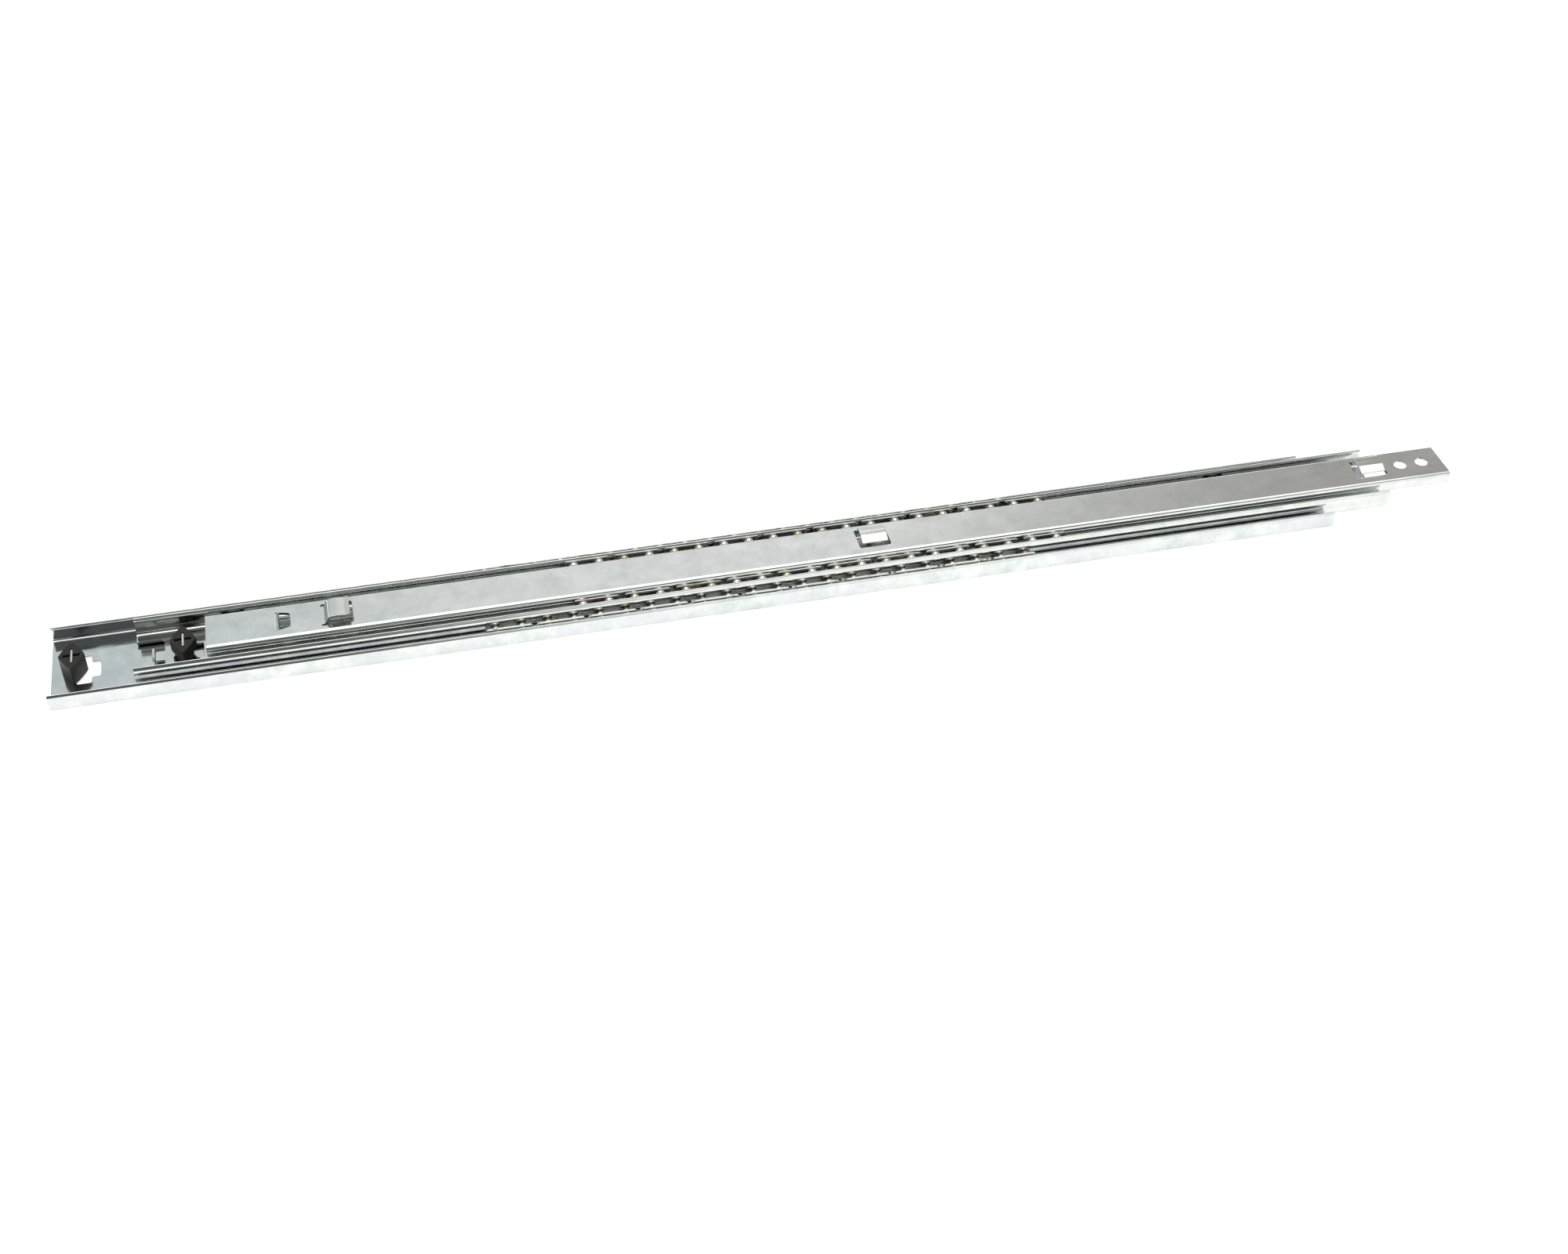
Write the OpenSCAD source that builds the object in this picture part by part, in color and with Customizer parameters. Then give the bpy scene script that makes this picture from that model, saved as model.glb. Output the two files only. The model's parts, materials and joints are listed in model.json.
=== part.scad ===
// Three-member ball-bearing cabinet drawer slide, lying on its back and part way open.
// +X runs to the front of the cabinet, +Z from the cabinet side to the drawer side.
// The origin is on the back face of the outer member, at the middle of its length.

/* [Overall] */
// Length of the outer member
outer_len = 558.8; // [450:0.1:720]
// Width of the outer member across its flanges
outer_w = 45.7; // [43:0.1:56]
// Thickness of the whole slide, back face to drawer face
slide_h = 12.7; // [12.4:0.1:16]
// Length of the intermediate member
mid_len = 553; // [450:1:700]
// Length of the inner member
inner_len = 556; // [540:1:700]

/* [Sheet steel] */
// Thickness of the three members
sheet_t = 1.2; // [1:0.05:1.4]
// Thickness of the ball retainers
retainer_t = 0.5; // [0.3:0.05:0.6]
// Gap between a retainer's web and the member beside it
web_gap = 0.15; // [0.1:0.05:0.3]

/* [Races] */
// Diameter of a ball
ball_d = 4.76; // [3.97:0.01:5.72]
// Clearance between a ball and each race
ball_clear = 0.1; // [0.05:0.01:0.15]
// Height of the outer balls' centres above the back face
outer_race_z = 6.4; // [6:0.1:7]
// Angle that the outer member's lip reaches over its balls
outer_lip_angle = 42; // [30:1:50]
// Angle that the intermediate member's lip reaches over its balls
mid_lip_angle = 47; // [30:1:55]
// Angle that a groove wraps on the side of its member's web
groove_angle = 15; // [10:1:20]
// Angle that the intermediate member's grooves wrap on the sides facing each other
cross_angle = 10; // [5:1:20]
// Length of the straight neck between those two grooves
neck_len = 1.86; // [1:0.01:2.5]
// Angle that the inner member's groove wraps below the balls' centres
inner_groove_angle = 25; // [15:1:30]
// Length of the straight edge below the inner member's groove
inner_lip = 0.5; // [0.3:0.1:1.5]

/* [Ball retainers] */
// Distance between balls along a retainer
ball_pitch = 11.08; // [10.5:0.01:14]
// Pairs of balls on each side of the outer retainer
outer_pairs = 11; // [6:1:13]
// Pairs of balls on each side of the inner retainer
inner_pairs = 10; // [6:1:13]
// Metal beyond the end balls' centres
retainer_end = 3.8; // [3:0.1:5]
// Width of the notch between two pairs of balls
notch_w = 2.8; // [2:0.1:4]
// Clearance round a ball in its window
window_clear = 0.1; // [0.05:0.01:0.2]
// Distance of the outer retainer's legs from its balls' centres, away from the middle
outer_leg_shift = 1.3; // [1.2:0.05:1.4]
// Distance of the inner retainer's legs from its balls' centres, towards the middle
inner_leg_shift = 0; // [0:0.1:0.6]
// Metal over each window of a retainer
window_bridge = 0.6; // [0.4:0.05:0.7]
// Radius of a retainer's bends, at mid thickness
retainer_bend_r = 1; // [0.8:0.1:1.4]

/* [Pose as stored] */
// Rear end of the intermediate member, in front of the outer member's rear end
mid_rest = 34.6; // [30:0.1:60]
// Rear end of the inner member, in front of the outer member's rear end
inner_rest = 64; // [61:0.1:90]
// First ball of the outer retainer, in front of the outer member's rear end
outer_balls_rest = 181.9; // [100:0.1:250]
// First ball of the inner retainer, in front of the outer member's rear end
inner_balls_rest = 219.9; // [120:0.1:260]

/* [Bumpers] */
// Length of a bumper along the slide
bumper_len = 10.8; // [9:0.1:13]
// Width of a bumper across the slide
bumper_w = 18; // [14:0.1:18]
// Centre of the outer bumper, in front of the outer member's rear end
outer_bumper_x = 9.6; // [8:0.1:14]
// Centre of the intermediate bumper, in front of that member's rear end
mid_bumper_x = 19.8; // [19:0.1:26]
// Height of the outer bumper's top above the back face
outer_bumper_top = 10; // [8:0.1:10.8]
// Height of the intermediate bumper's top above the back face
mid_bumper_top = 10.4; // [9:0.1:10.8]
// Height of the intermediate bumper's head
mid_bumper_head = 5.2; // [4:0.1:6]
// Length of the intermediate bumper's neck along the slide
mid_neck_len = 5.5; // [4:0.1:7]
// Width of that neck
mid_neck_w = 12; // [9:0.1:14]
// Width of the steel tab that holds a bumper
tab_w = 8; // [6:0.1:9]
// Width of the wide part of the opening in front of the outer tab
outer_open_w = 17; // [12:0.1:20]
// Length of that wide part
outer_open_len = 6; // [4:0.1:8]
// Width of the opening's narrow front part
outer_nose_w = 9.2; // [6:0.1:11]
// Length of the opening to the end of its narrow part
outer_nose_len = 9.6; // [9:0.1:12]
// Width of the opening in front of the intermediate tab
mid_open_w = 9; // [8.5:0.1:11]
// Width of the cross slot that runs along the slide
cross_slot_w = 1.4; // [1:0.1:2]
// Length of that cross slot
cross_slot_len = 6.8; // [5:0.1:8]
// Gap between a tab and the slot in its bumper
tab_clear = 0.05; // [0.02:0.01:0.1]
// How far a tab's top lies below its bumper's top
tab_drop = 0.3; // [0.1:0.1:1]

/* [Intermediate rear end] */
// How far the web is cut back at the rear
mid_web_cut = 11.4; // [10:0.1:14]
// Width of that cut
mid_web_cut_w = 20.6; // [16:0.1:24]
// Length of the striker tongue
tongue_len = 5; // [4:0.1:7]
// Width of the striker tongue
tongue_w = 5.6; // [4:0.1:8]
// How far the tongue's end is turned up above the web
tongue_rise = 2; // [1:0.1:3]

/* [Inner member's formed features] */
// Front face of the stop tab, from the inner member's rear end
stop_x = 28.9; // [26:0.1:34]
// Width of the stop tab
stop_w = 11; // [8:0.1:12]
// How far the stop tab reaches below the web's top
stop_drop = 5.6; // [4:0.1:6]
// Length of the opening that the stop tab leaves in the web
stop_open = 4.6; // [4:0.1:7]
// Root of the rear hook, from the inner member's rear end
rear_hook_x = 47.4; // [44:0.1:80]
// Middle of the middle hook, from the inner member's rear end
mid_hook_x = 286.1; // [120:0.1:330]
// Middle of the front hook, from the inner member's front end
front_hook_back = 35.5; // [34:0.1:60]
// Width of a hook
hook_w = 11.6; // [9:0.1:12]
// Slit on each side of a hook
hook_slit = 1.1; // [0.6:0.1:1.5]
// Reach of the rear hook from its root
rear_hook_len = 12; // [10:0.1:14]
// Reach of the side-rooted hooks from their roots
side_hook_len = 11.3; // [9:0.1:12]
// Root of the side-rooted hooks, from the slide's middle line
side_hook_root = 7; // [6:0.1:8]
// Height of the rear hook above the web
rear_hook_h = 3.5; // [2.4:0.1:4]
// Height of the side-rooted hooks above the web
side_hook_h = 3.5; // [3:0.1:4]
// Downward slope of the side-rooted hooks' tops, towards their free ends
side_hook_tilt = 10; // [0:1:12]
// Radius of the hooks' bends, at mid thickness
hook_bend_r = 1; // [0.8:0.1:1.2]
// Slope of a hook's riser
hook_slope = 75; // [60:1:85]
// Upward turn of the rear hook's free end
rear_hook_flare = 14; // [5:1:25]

/* [Screw holes] */
// Diameter of the drawer screw holes
drawer_hole_d = 5.6; // [4:0.1:7]
// Distance between the drawer screw holes
drawer_hole_gap = 10.5; // [9:0.1:14]
// Front drawer screw hole, from the inner member's front end
drawer_hole_back = 9.5; // [7:0.1:12]
// Diameter of the cabinet screw holes
cabinet_hole_d = 4.6; // [3.6:0.1:6]
// Distance between the cabinet screw holes
cabinet_hole_gap = 448; // [320:32:480]
// Front cabinet screw hole, from the outer member's front end
cabinet_hole_back = 37; // [30:0.5:60]
// Diameter of the screwdriver openings over the cabinet screw holes
access_d = 10; // [8:0.5:14]

/* [Hidden] */
arc_step = 12;
round_fn = 48;
cut = 1;
race_r = ball_d / 2 + ball_clear;
mid_r = race_r + sheet_t / 2;
outer_race_y = outer_w / 2 - sheet_t - race_r;
inner_race_y = outer_race_y - 2 * mid_r * cos(cross_angle) + neck_len * sin(cross_angle);
inner_race_z = outer_race_z + 2 * mid_r * sin(cross_angle) + neck_len * cos(cross_angle);

outer_web_z = sheet_t / 2;
mid_web_bottom = sheet_t + retainer_t + 2 * web_gap;
mid_web_z = mid_web_bottom + sheet_t / 2;
mid_web_top = mid_web_bottom + sheet_t;
inner_web_z = slide_h - sheet_t / 2;

outer_x = -outer_len / 2;
mid_x = outer_x + mid_rest;
inner_x = outer_x + inner_rest;
outer_bend_r = 1.5 * sheet_t;
bumper_side_bulge = 0.8;

function pad(n) = str(n < 10 ? "0" : "", n);
ball_nodes = [
    for (set = [["outer", outer_pairs], ["inner", inner_pairs]], side = ["near", "far"], i = [1:set[1]])
        str(set[0], "_balls_", side, "_", pad(i))
];

// A bent strip is a list of arcs [centre, centre, radius, from angle, to angle] along its mid line,
// joined by straight lines. An arc of radius 0 is a point, and its angle is the heading less 90.
function arc_side(arc, side, t) =
    let (turn = arc[4] >= arc[3] ? 1 : -1,
        r = arc[2] + side * turn * t / 2,
        n = ceil(abs(arc[4] - arc[3]) / arc_step))
    [for (i = [0:n]) let (a = arc[3] + (arc[4] - arc[3]) * i / max(n, 1))
        [arc[0] + r * cos(a), arc[1] + r * sin(a)]];
function strip_side(arcs, side, t) = [for (arc = arcs) each arc_side(arc, side, t)];
function backwards(list) = [for (i = [len(list) - 1:-1:0]) list[i]];
function strip_outline(arcs, t) = concat(strip_side(arcs, 1, t), backwards(strip_side(arcs, -1, t)));
function both_sides(half) = concat(half, [for (p = backwards(half)) [-p[0], p[1]]]);

// Half sections, from the middle of the web out to the tip of a flange.
outer_wall_y = outer_race_y + mid_r;
outer_half = [
    [outer_wall_y - outer_bend_r, outer_web_z + outer_bend_r, outer_bend_r, -90, 0],
    [outer_race_y, outer_race_z, mid_r, 0, outer_lip_angle]
];

mid_bend_r = (outer_race_z - mid_r * sin(groove_angle) - mid_web_z) / (1 + sin(groove_angle));
mid_bend_y = outer_race_y - (mid_r + mid_bend_r) * cos(groove_angle);
mid_half = [
    [mid_bend_y, mid_web_z + mid_bend_r, mid_bend_r, -90, groove_angle],
    [outer_race_y, outer_race_z, mid_r, 180 + groove_angle, 180 - cross_angle],
    [inner_race_y, inner_race_z, mid_r, -cross_angle, mid_lip_angle]
];

inner_bend_r = (inner_web_z - inner_race_z - mid_r * sin(groove_angle)) / (1 + sin(groove_angle));
inner_bend_y = inner_race_y - (mid_r + inner_bend_r) * cos(groove_angle);
inner_lip_y = inner_race_y - mid_r * cos(inner_groove_angle) + inner_lip * sin(inner_groove_angle);
inner_lip_z = inner_race_z - mid_r * sin(inner_groove_angle) - inner_lip * cos(inner_groove_angle);
inner_half = [
    [inner_bend_y, inner_web_z - inner_bend_r, inner_bend_r, 90, -groove_angle],
    [inner_race_y, inner_race_z, mid_r, 180 - groove_angle, 180 + inner_groove_angle],
    [inner_lip_y, inner_lip_z, 0, 180 + inner_groove_angle, 180 + inner_groove_angle]
];

// Half the width of a ball where a plane passes at this distance from its centre.
function half_ball(distance) = sqrt(pow(ball_d / 2, 2) - pow(max(0, distance), 2));

// Each window clears the ball on the face of the leg that is nearer to the ball's centre.
outer_cage_web_z = sheet_t + web_gap + retainer_t / 2;
outer_cage_line = outer_race_y - outer_race_z
    + sqrt(2) * (mid_r - sheet_t / 2 - web_gap - retainer_t / 2);
outer_edge_y = outer_race_y + outer_leg_shift;
outer_window_top = outer_race_z + half_ball(outer_leg_shift - retainer_t / 2) + window_clear;
outer_slope_gap = race_r - web_gap - retainer_t;
outer_window_low = outer_race_z - (outer_slope_gap + half_ball(outer_slope_gap)) / sqrt(2) - window_clear;
outer_cage_half = [
    [outer_cage_line + outer_cage_web_z + retainer_bend_r * (1 - sqrt(2)),
        outer_cage_web_z + retainer_bend_r, retainer_bend_r, -90, -45],
    [outer_edge_y - retainer_bend_r,
        outer_edge_y - outer_cage_line + retainer_bend_r * (sqrt(2) - 1), retainer_bend_r, -45, 0],
    [outer_edge_y, outer_window_top + window_bridge, 0, 0, 0]
];
inner_cage_web_z = mid_web_top + web_gap + retainer_t / 2;
inner_edge_y = inner_race_y - inner_leg_shift;
inner_window_r = half_ball(inner_leg_shift - retainer_t / 2) + window_clear;
inner_edge_z = min(inner_race_z + inner_window_r + window_bridge, slide_h - web_gap);
inner_cage_half = [
    [inner_edge_y - retainer_bend_r, inner_cage_web_z + retainer_bend_r, retainer_bend_r, -90, 0],
    [inner_edge_y, inner_edge_z, 0, 0, 0]
];

// A hook's side view from its root: up a steep riser, over a top that tilts down, then a turned-up end.
function hook_path(reach, rise, start, tilt, flare) =
    let (r = hook_bend_r,
        b = hook_slope,
        straight = (rise - 2 * r * (1 - cos(b))) / tan(b),
        top_u = start + 2 * r * sin(b) + straight,
        end_w = rise - r + r * cos(tilt) - (reach - top_u - r * sin(tilt)) * tan(tilt),
        flare_u = reach - 2 * r)
    concat(
        [[0, 0, 0, -90, -90], [start, r, r, -90, b - 90], [top_u, rise - r, r, b + 90, 90 - tilt]],
        flare == 0 ? [[reach, end_w, 0, -90 - tilt, -90 - tilt]] : [
            [flare_u, rise + 2 * r, 2 * r, -90, flare - 90],
            [reach, rise + 2 * r * (1 - cos(flare)) + (reach - flare_u - 2 * r * sin(flare)) * tan(flare),
                0, flare - 90, flare - 90]]
    );

module along_x(from, length) {
    translate([from, 0, 0])
        rotate([90, 0, 90])
            linear_extrude(height = length)
                children();
}

module section(half, t, from, length) {
    along_x(from, length)
        polygon(both_sides(strip_outline(half, t)));
}

// A block from the low corner to the high corner.
module block(low, high) {
    translate(low)
        cube(high - low);
}

module web_hole(x, z, d) {
    translate([x, 0, z - sheet_t / 2 - cut])
        cylinder(h = sheet_t + 2 * cut, d = d, $fn = round_fn);
}

// A tab stands across the slide with its front face at x, and the opening it left is in front of it.
module upright_tab(x, from_z, to_z) {
    block([x - sheet_t, -tab_w / 2, from_z], [x, tab_w / 2, to_z]);
}

module tab_opening(x, length, width, z) {
    block([x, -width / 2, z - sheet_t / 2 - cut], [x + length, width / 2, z + sheet_t / 2 + cut]);
}

outer_tab_x = outer_x + outer_bumper_x + sheet_t / 2;
outer_tab_top = outer_bumper_top - tab_drop;
mid_tab_x = mid_x + mid_bumper_x + sheet_t / 2;
mid_tab_top = mid_bumper_top - tab_drop;
front_cabinet_hole = outer_len / 2 - cabinet_hole_back;
cabinet_holes = [front_cabinet_hole - cabinet_hole_gap, front_cabinet_hole];

module outer_member() {
    color("silver") {
        difference() {
            section(outer_half, sheet_t, outer_x, outer_len);
            tab_opening(outer_tab_x, outer_open_len, outer_open_w, outer_web_z);
            tab_opening(outer_tab_x, outer_nose_len, outer_nose_w, outer_web_z);
            for (x = cabinet_holes) {
                web_hole(x, outer_web_z, cabinet_hole_d);
            }
        }
        upright_tab(outer_tab_x, 0, outer_tab_top);
    }
}

module intermediate_member() {
    tongue_x = mid_x + mid_web_cut - tongue_len;
    color("gainsboro") {
        difference() {
            section(mid_half, sheet_t, mid_x, mid_len);
            block([mid_x - cut, -mid_web_cut_w / 2, 0],
                [mid_x + mid_web_cut, mid_web_cut_w / 2, mid_web_top + cut]);
            tab_opening(mid_tab_x, mid_tab_top - mid_web_top, mid_open_w, mid_web_z);
            for (x = cabinet_holes) {
                web_hole(x, mid_web_z, access_d);
            }
        }
        upright_tab(mid_tab_x, mid_web_bottom, mid_tab_top);
        block([tongue_x, -tongue_w / 2, mid_web_bottom],
            [mid_x + mid_web_cut + cut, tongue_w / 2, mid_web_top]);
        block([tongue_x, -tongue_w / 2, mid_web_bottom],
            [tongue_x + sheet_t, tongue_w / 2, mid_web_top + tongue_rise]);
    }
}

module hook_strip(reach, rise, start, tilt, flare) {
    rotate([90, 0, 0])
        linear_extrude(height = hook_w, center = true)
            polygon(strip_outline(hook_path(reach, rise, start, tilt, flare), sheet_t));
}

module hook_opening(reach) {
    block([0, -hook_w / 2 - hook_slit, -sheet_t / 2 - cut],
        [reach + hook_slit, hook_w / 2 + hook_slit, sheet_t / 2 + cut]);
}

module at_rear_hook() {
    translate([inner_x + rear_hook_x, 0, inner_web_z])
        children();
}

module at_side_hooks() {
    for (x = [inner_x + mid_hook_x, inner_x + inner_len - front_hook_back]) {
        translate([x, side_hook_root, inner_web_z])
            rotate([0, 0, -90])
                children();
    }
}

module inner_member() {
    stop_at = inner_x + stop_x;
    drawer_front = inner_x + inner_len - drawer_hole_back;
    color("darkgray") {
        difference() {
            section(inner_half, sheet_t, inner_x, inner_len);
            tab_opening(stop_at + sheet_t, stop_open, stop_w, inner_web_z);
            at_rear_hook() hook_opening(rear_hook_len);
            at_side_hooks() hook_opening(side_hook_len);
            for (x = [drawer_front - drawer_hole_gap, drawer_front]) {
                web_hole(x, inner_web_z, drawer_hole_d);
            }
        }
        block([stop_at, -stop_w / 2, slide_h - stop_drop], [stop_at + sheet_t, stop_w / 2, slide_h]);
        at_rear_hook() hook_strip(rear_hook_len, rear_hook_h, hook_slit, 0, rear_hook_flare);
        at_side_hooks() hook_strip(side_hook_len, side_hook_h, hook_slit / 2, side_hook_tilt, 0);
    }
}

// A diamond outline with slightly bulging sides.
module diamond(length, width) {
    polygon([for (side = [0:3], step = [0:3])
        let (a = 90 * side,
            part = step / 4,
            bulge = bumper_side_bulge * 4 * part * (1 - part) / 2,
            x = (length / 2) * (cos(a) * (1 - part) + cos(a + 90) * part),
            y = (width / 2) * (sin(a) * (1 - part) + sin(a + 90) * part))
        [x, y] + bulge * [cos(a + 45), sin(a + 45)]]);
}

module bumper_slots(z, height) {
    slot_t = sheet_t + 2 * tab_clear;
    slot_w = tab_w + 2 * tab_clear;
    translate([-slot_t / 2, -slot_w / 2, z])
        cube([slot_t, slot_w, height]);
    translate([-cross_slot_len / 2, -cross_slot_w / 2, z])
        cube([cross_slot_len, cross_slot_w, height]);
}

module outer_bumper() {
    height = outer_bumper_top - sheet_t;
    color([0.08, 0.08, 0.08])
        translate([outer_x + outer_bumper_x, 0, sheet_t])
            difference() {
                linear_extrude(height = height)
                    diamond(bumper_len, bumper_w);
                bumper_slots(-cut, height + 2 * cut);
            }
}

module intermediate_bumper() {
    height = mid_bumper_top - mid_web_top;
    color([0.08, 0.08, 0.08])
        translate([mid_x + mid_bumper_x, 0, mid_web_top])
            difference() {
                union() {
                    translate([0, 0, height - mid_bumper_head])
                        linear_extrude(height = mid_bumper_head)
                            diamond(bumper_len, bumper_w);
                    translate([-mid_neck_len / 2, -mid_neck_w / 2, 0])
                        cube([mid_neck_len, mid_neck_w, height - mid_bumper_head + cut]);
                }
                bumper_slots(-cut, height + 2 * cut);
            }
}

// A U-shaped strip with a closed window for every ball and a notch between every two pairs.
module ball_retainer(half, reach, window_low, window_top, first_ball, pairs) {
    window_r = (window_top - window_low) / 2;
    from = first_ball - retainer_end;
    length = (2 * pairs - 1) * ball_pitch + 2 * retainer_end;
    color("lightgray")
        difference() {
            section(half, retainer_t, from, length);
            for (i = [0:2 * pairs - 1]) {
                translate([first_ball + i * ball_pitch, 0, window_low + window_r])
                    rotate([90, 0, 0])
                        cylinder(h = 2 * reach, r = window_r, center = true, $fn = round_fn);
            }
            for (i = [1:pairs - 1]) {
                notch_x = first_ball + (2 * i - 0.5) * ball_pitch;
                block([notch_x - notch_w / 2, -reach, window_low],
                    [notch_x + notch_w / 2, reach, window_top + window_bridge + cut]);
            }
        }
}

module outer_ball_retainer() {
    ball_retainer(outer_cage_half, outer_edge_y + retainer_t, outer_window_low, outer_window_top,
        outer_x + outer_balls_rest, outer_pairs);
}

module inner_ball_retainer() {
    ball_retainer(inner_cage_half, inner_edge_y + retainer_t, inner_race_z - inner_window_r,
        inner_race_z + inner_window_r, outer_x + inner_balls_rest, inner_pairs);
}

module ball_pair(pair, first_ball, y, z) {
    color("white")
        for (i = [2 * pair - 2, 2 * pair - 1]) {
            translate([first_ball + i * ball_pitch, y, z])
                sphere(d = ball_d, $fn = round_fn);
        }
}

outer_member();
outer_bumper();
intermediate_member();
intermediate_bumper();
inner_member();
outer_ball_retainer();
inner_ball_retainer();
for (side = [["near", -1], ["far", 1]]) {
    for (i = [1:outer_pairs]) {
        ball_pair(i, outer_x + outer_balls_rest, side[1] * outer_race_y, outer_race_z);
    }
    for (i = [1:inner_pairs]) {
        ball_pair(i, outer_x + inner_balls_rest, side[1] * inner_race_y, inner_race_z);
    }
}
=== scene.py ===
"""Finished look of a three-member ball-bearing cabinet drawer slide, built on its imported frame.

The frame gives every length and place that the members, races and bumpers share. This script adds
the formed sheet metal, the punched edges, the balls, the moulded rubber and every finish.
"""

import json
import logging
import math
from dataclasses import dataclass, field
from enum import Enum

import bmesh
import bpy
from mathutils import Matrix, Vector


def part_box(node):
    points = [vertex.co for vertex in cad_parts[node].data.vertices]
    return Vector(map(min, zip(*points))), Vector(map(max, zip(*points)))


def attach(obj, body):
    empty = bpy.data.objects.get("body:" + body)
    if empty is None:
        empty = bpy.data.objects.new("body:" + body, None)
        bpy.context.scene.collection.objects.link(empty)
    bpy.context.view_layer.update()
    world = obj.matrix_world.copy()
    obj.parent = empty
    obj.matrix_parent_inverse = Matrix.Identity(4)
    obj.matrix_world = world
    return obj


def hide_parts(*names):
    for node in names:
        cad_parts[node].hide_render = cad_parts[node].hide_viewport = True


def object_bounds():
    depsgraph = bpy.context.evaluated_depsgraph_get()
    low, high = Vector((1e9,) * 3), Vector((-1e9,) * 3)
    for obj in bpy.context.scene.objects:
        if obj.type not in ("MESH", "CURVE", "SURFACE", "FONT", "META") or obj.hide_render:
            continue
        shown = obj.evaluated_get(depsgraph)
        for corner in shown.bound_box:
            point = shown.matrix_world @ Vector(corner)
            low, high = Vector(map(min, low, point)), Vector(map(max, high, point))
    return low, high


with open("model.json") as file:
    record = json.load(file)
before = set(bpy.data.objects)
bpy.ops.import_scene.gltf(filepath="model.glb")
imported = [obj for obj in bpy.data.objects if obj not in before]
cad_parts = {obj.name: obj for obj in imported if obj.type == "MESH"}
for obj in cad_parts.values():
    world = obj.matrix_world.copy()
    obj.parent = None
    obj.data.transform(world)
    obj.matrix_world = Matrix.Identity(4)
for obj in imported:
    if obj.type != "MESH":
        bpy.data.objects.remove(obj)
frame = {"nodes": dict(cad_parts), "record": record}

MM = 0.001
CAD_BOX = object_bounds()
log = logging.getLogger("drawer_slide")

Point = tuple[float, float]
Colour = tuple[float, float, float, float]
Material = bpy.types.Material
Node = bpy.types.Node
Object = bpy.types.Object
Socket = bpy.types.NodeSocket
Tree = bpy.types.NodeTree

# How far a cutter, or a joint between two blocks, runs past a face
OVERRUN = 1.0 * MM
# The middle step of a broken edge, as a share of the edge
EASE = 0.3
# Half the width of a retainer's round windows
OUTER_WINDOW = 2.36 * MM
INNER_WINDOW = 2.48 * MM
# Height of the intermediate bumper's head
BUMPER_HEAD = 5.2 * MM


class Side(Enum):
    """Which long side of the slide, by the sign of its Y."""

    NEAR = -1
    FAR = 1


class Heading(Enum):
    """The way a lanced ribbon leaves its root, along the web."""

    FRONT = "front"
    REAR = "rear"
    ACROSS = "across"


class Joining(Enum):
    """How one solid changes another."""

    CUT = "DIFFERENCE"
    ADD = "UNION"


# Outlines and solids


@dataclass(frozen=True)
class Arc:
    """One bend of a strip's mid line. A radius of 0 is a point, whose angle is the heading less 90."""

    across: float
    up: float
    radius: float
    start: float
    end: float

    def offset(self, distance: float, step: float = 6.0) -> list[Point]:
        """Points along the arc, moved to one side of the mid line.

        Args:
            distance: how far from the mid line, positive on its right-hand side.
            step: the largest angle between points, in degrees.

        Returns:
            The points in the order that the strip runs.
        """
        turn = 1 if self.end >= self.start else -1
        radius = self.radius + turn * distance
        count = max(1, math.ceil(abs(self.end - self.start) / step)) if self.radius else 0
        points = []
        for i in range(count + 1):
            angle = math.radians(self.start + (self.end - self.start) * i / max(count, 1))
            points.append((self.across + radius * math.cos(angle), self.up + radius * math.sin(angle)))
        return points


@dataclass(frozen=True)
class BentStrip:
    """A strip of sheet along a bent mid line, with a rounded tip at its far end."""

    arcs: tuple[Arc, ...]
    thickness: float
    tip_radius: float

    def outline(self, inset: float = 0.0) -> list[Point]:
        """The strip's closed outline.

        Args:
            inset: how far the outline lies inside the full one.

        Returns:
            One side out to the tip, round the tip, and the other side back.
        """
        half = self.thickness / 2 - inset
        last = self.arcs[-1]
        heading = math.radians(last.end + (90 if last.end >= last.start else -90))
        ahead = Vector((math.cos(heading), math.sin(heading)))
        right = Vector((ahead.y, -ahead.x))
        middle = Vector(last.offset(0.0)[-1])
        corner = max(self.tip_radius - inset, 0.01 * MM)
        one = [p for arc in self.arcs for p in arc.offset(half)]
        two = [p for arc in self.arcs for p in arc.offset(-half)]
        tip = []
        for turn in (1, -1):
            for i in range(1, 4):
                angle = math.radians(30 * i if turn > 0 else 30 * (4 - i))
                at = middle + turn * right * (half - corner)
                at += corner * (turn * right * math.cos(angle) + ahead * math.sin(angle))
                tip.append((at.x, at.y))
        return one + tip + two[::-1]

    def mirrored_outline(self, inset: float = 0.0) -> list[Point]:
        """The outline of a channel: this strip as its right half, and its mirror image as the left."""
        half = self.outline(inset)
        return half + [(-y, z) for y, z in half[::-1]]


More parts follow.
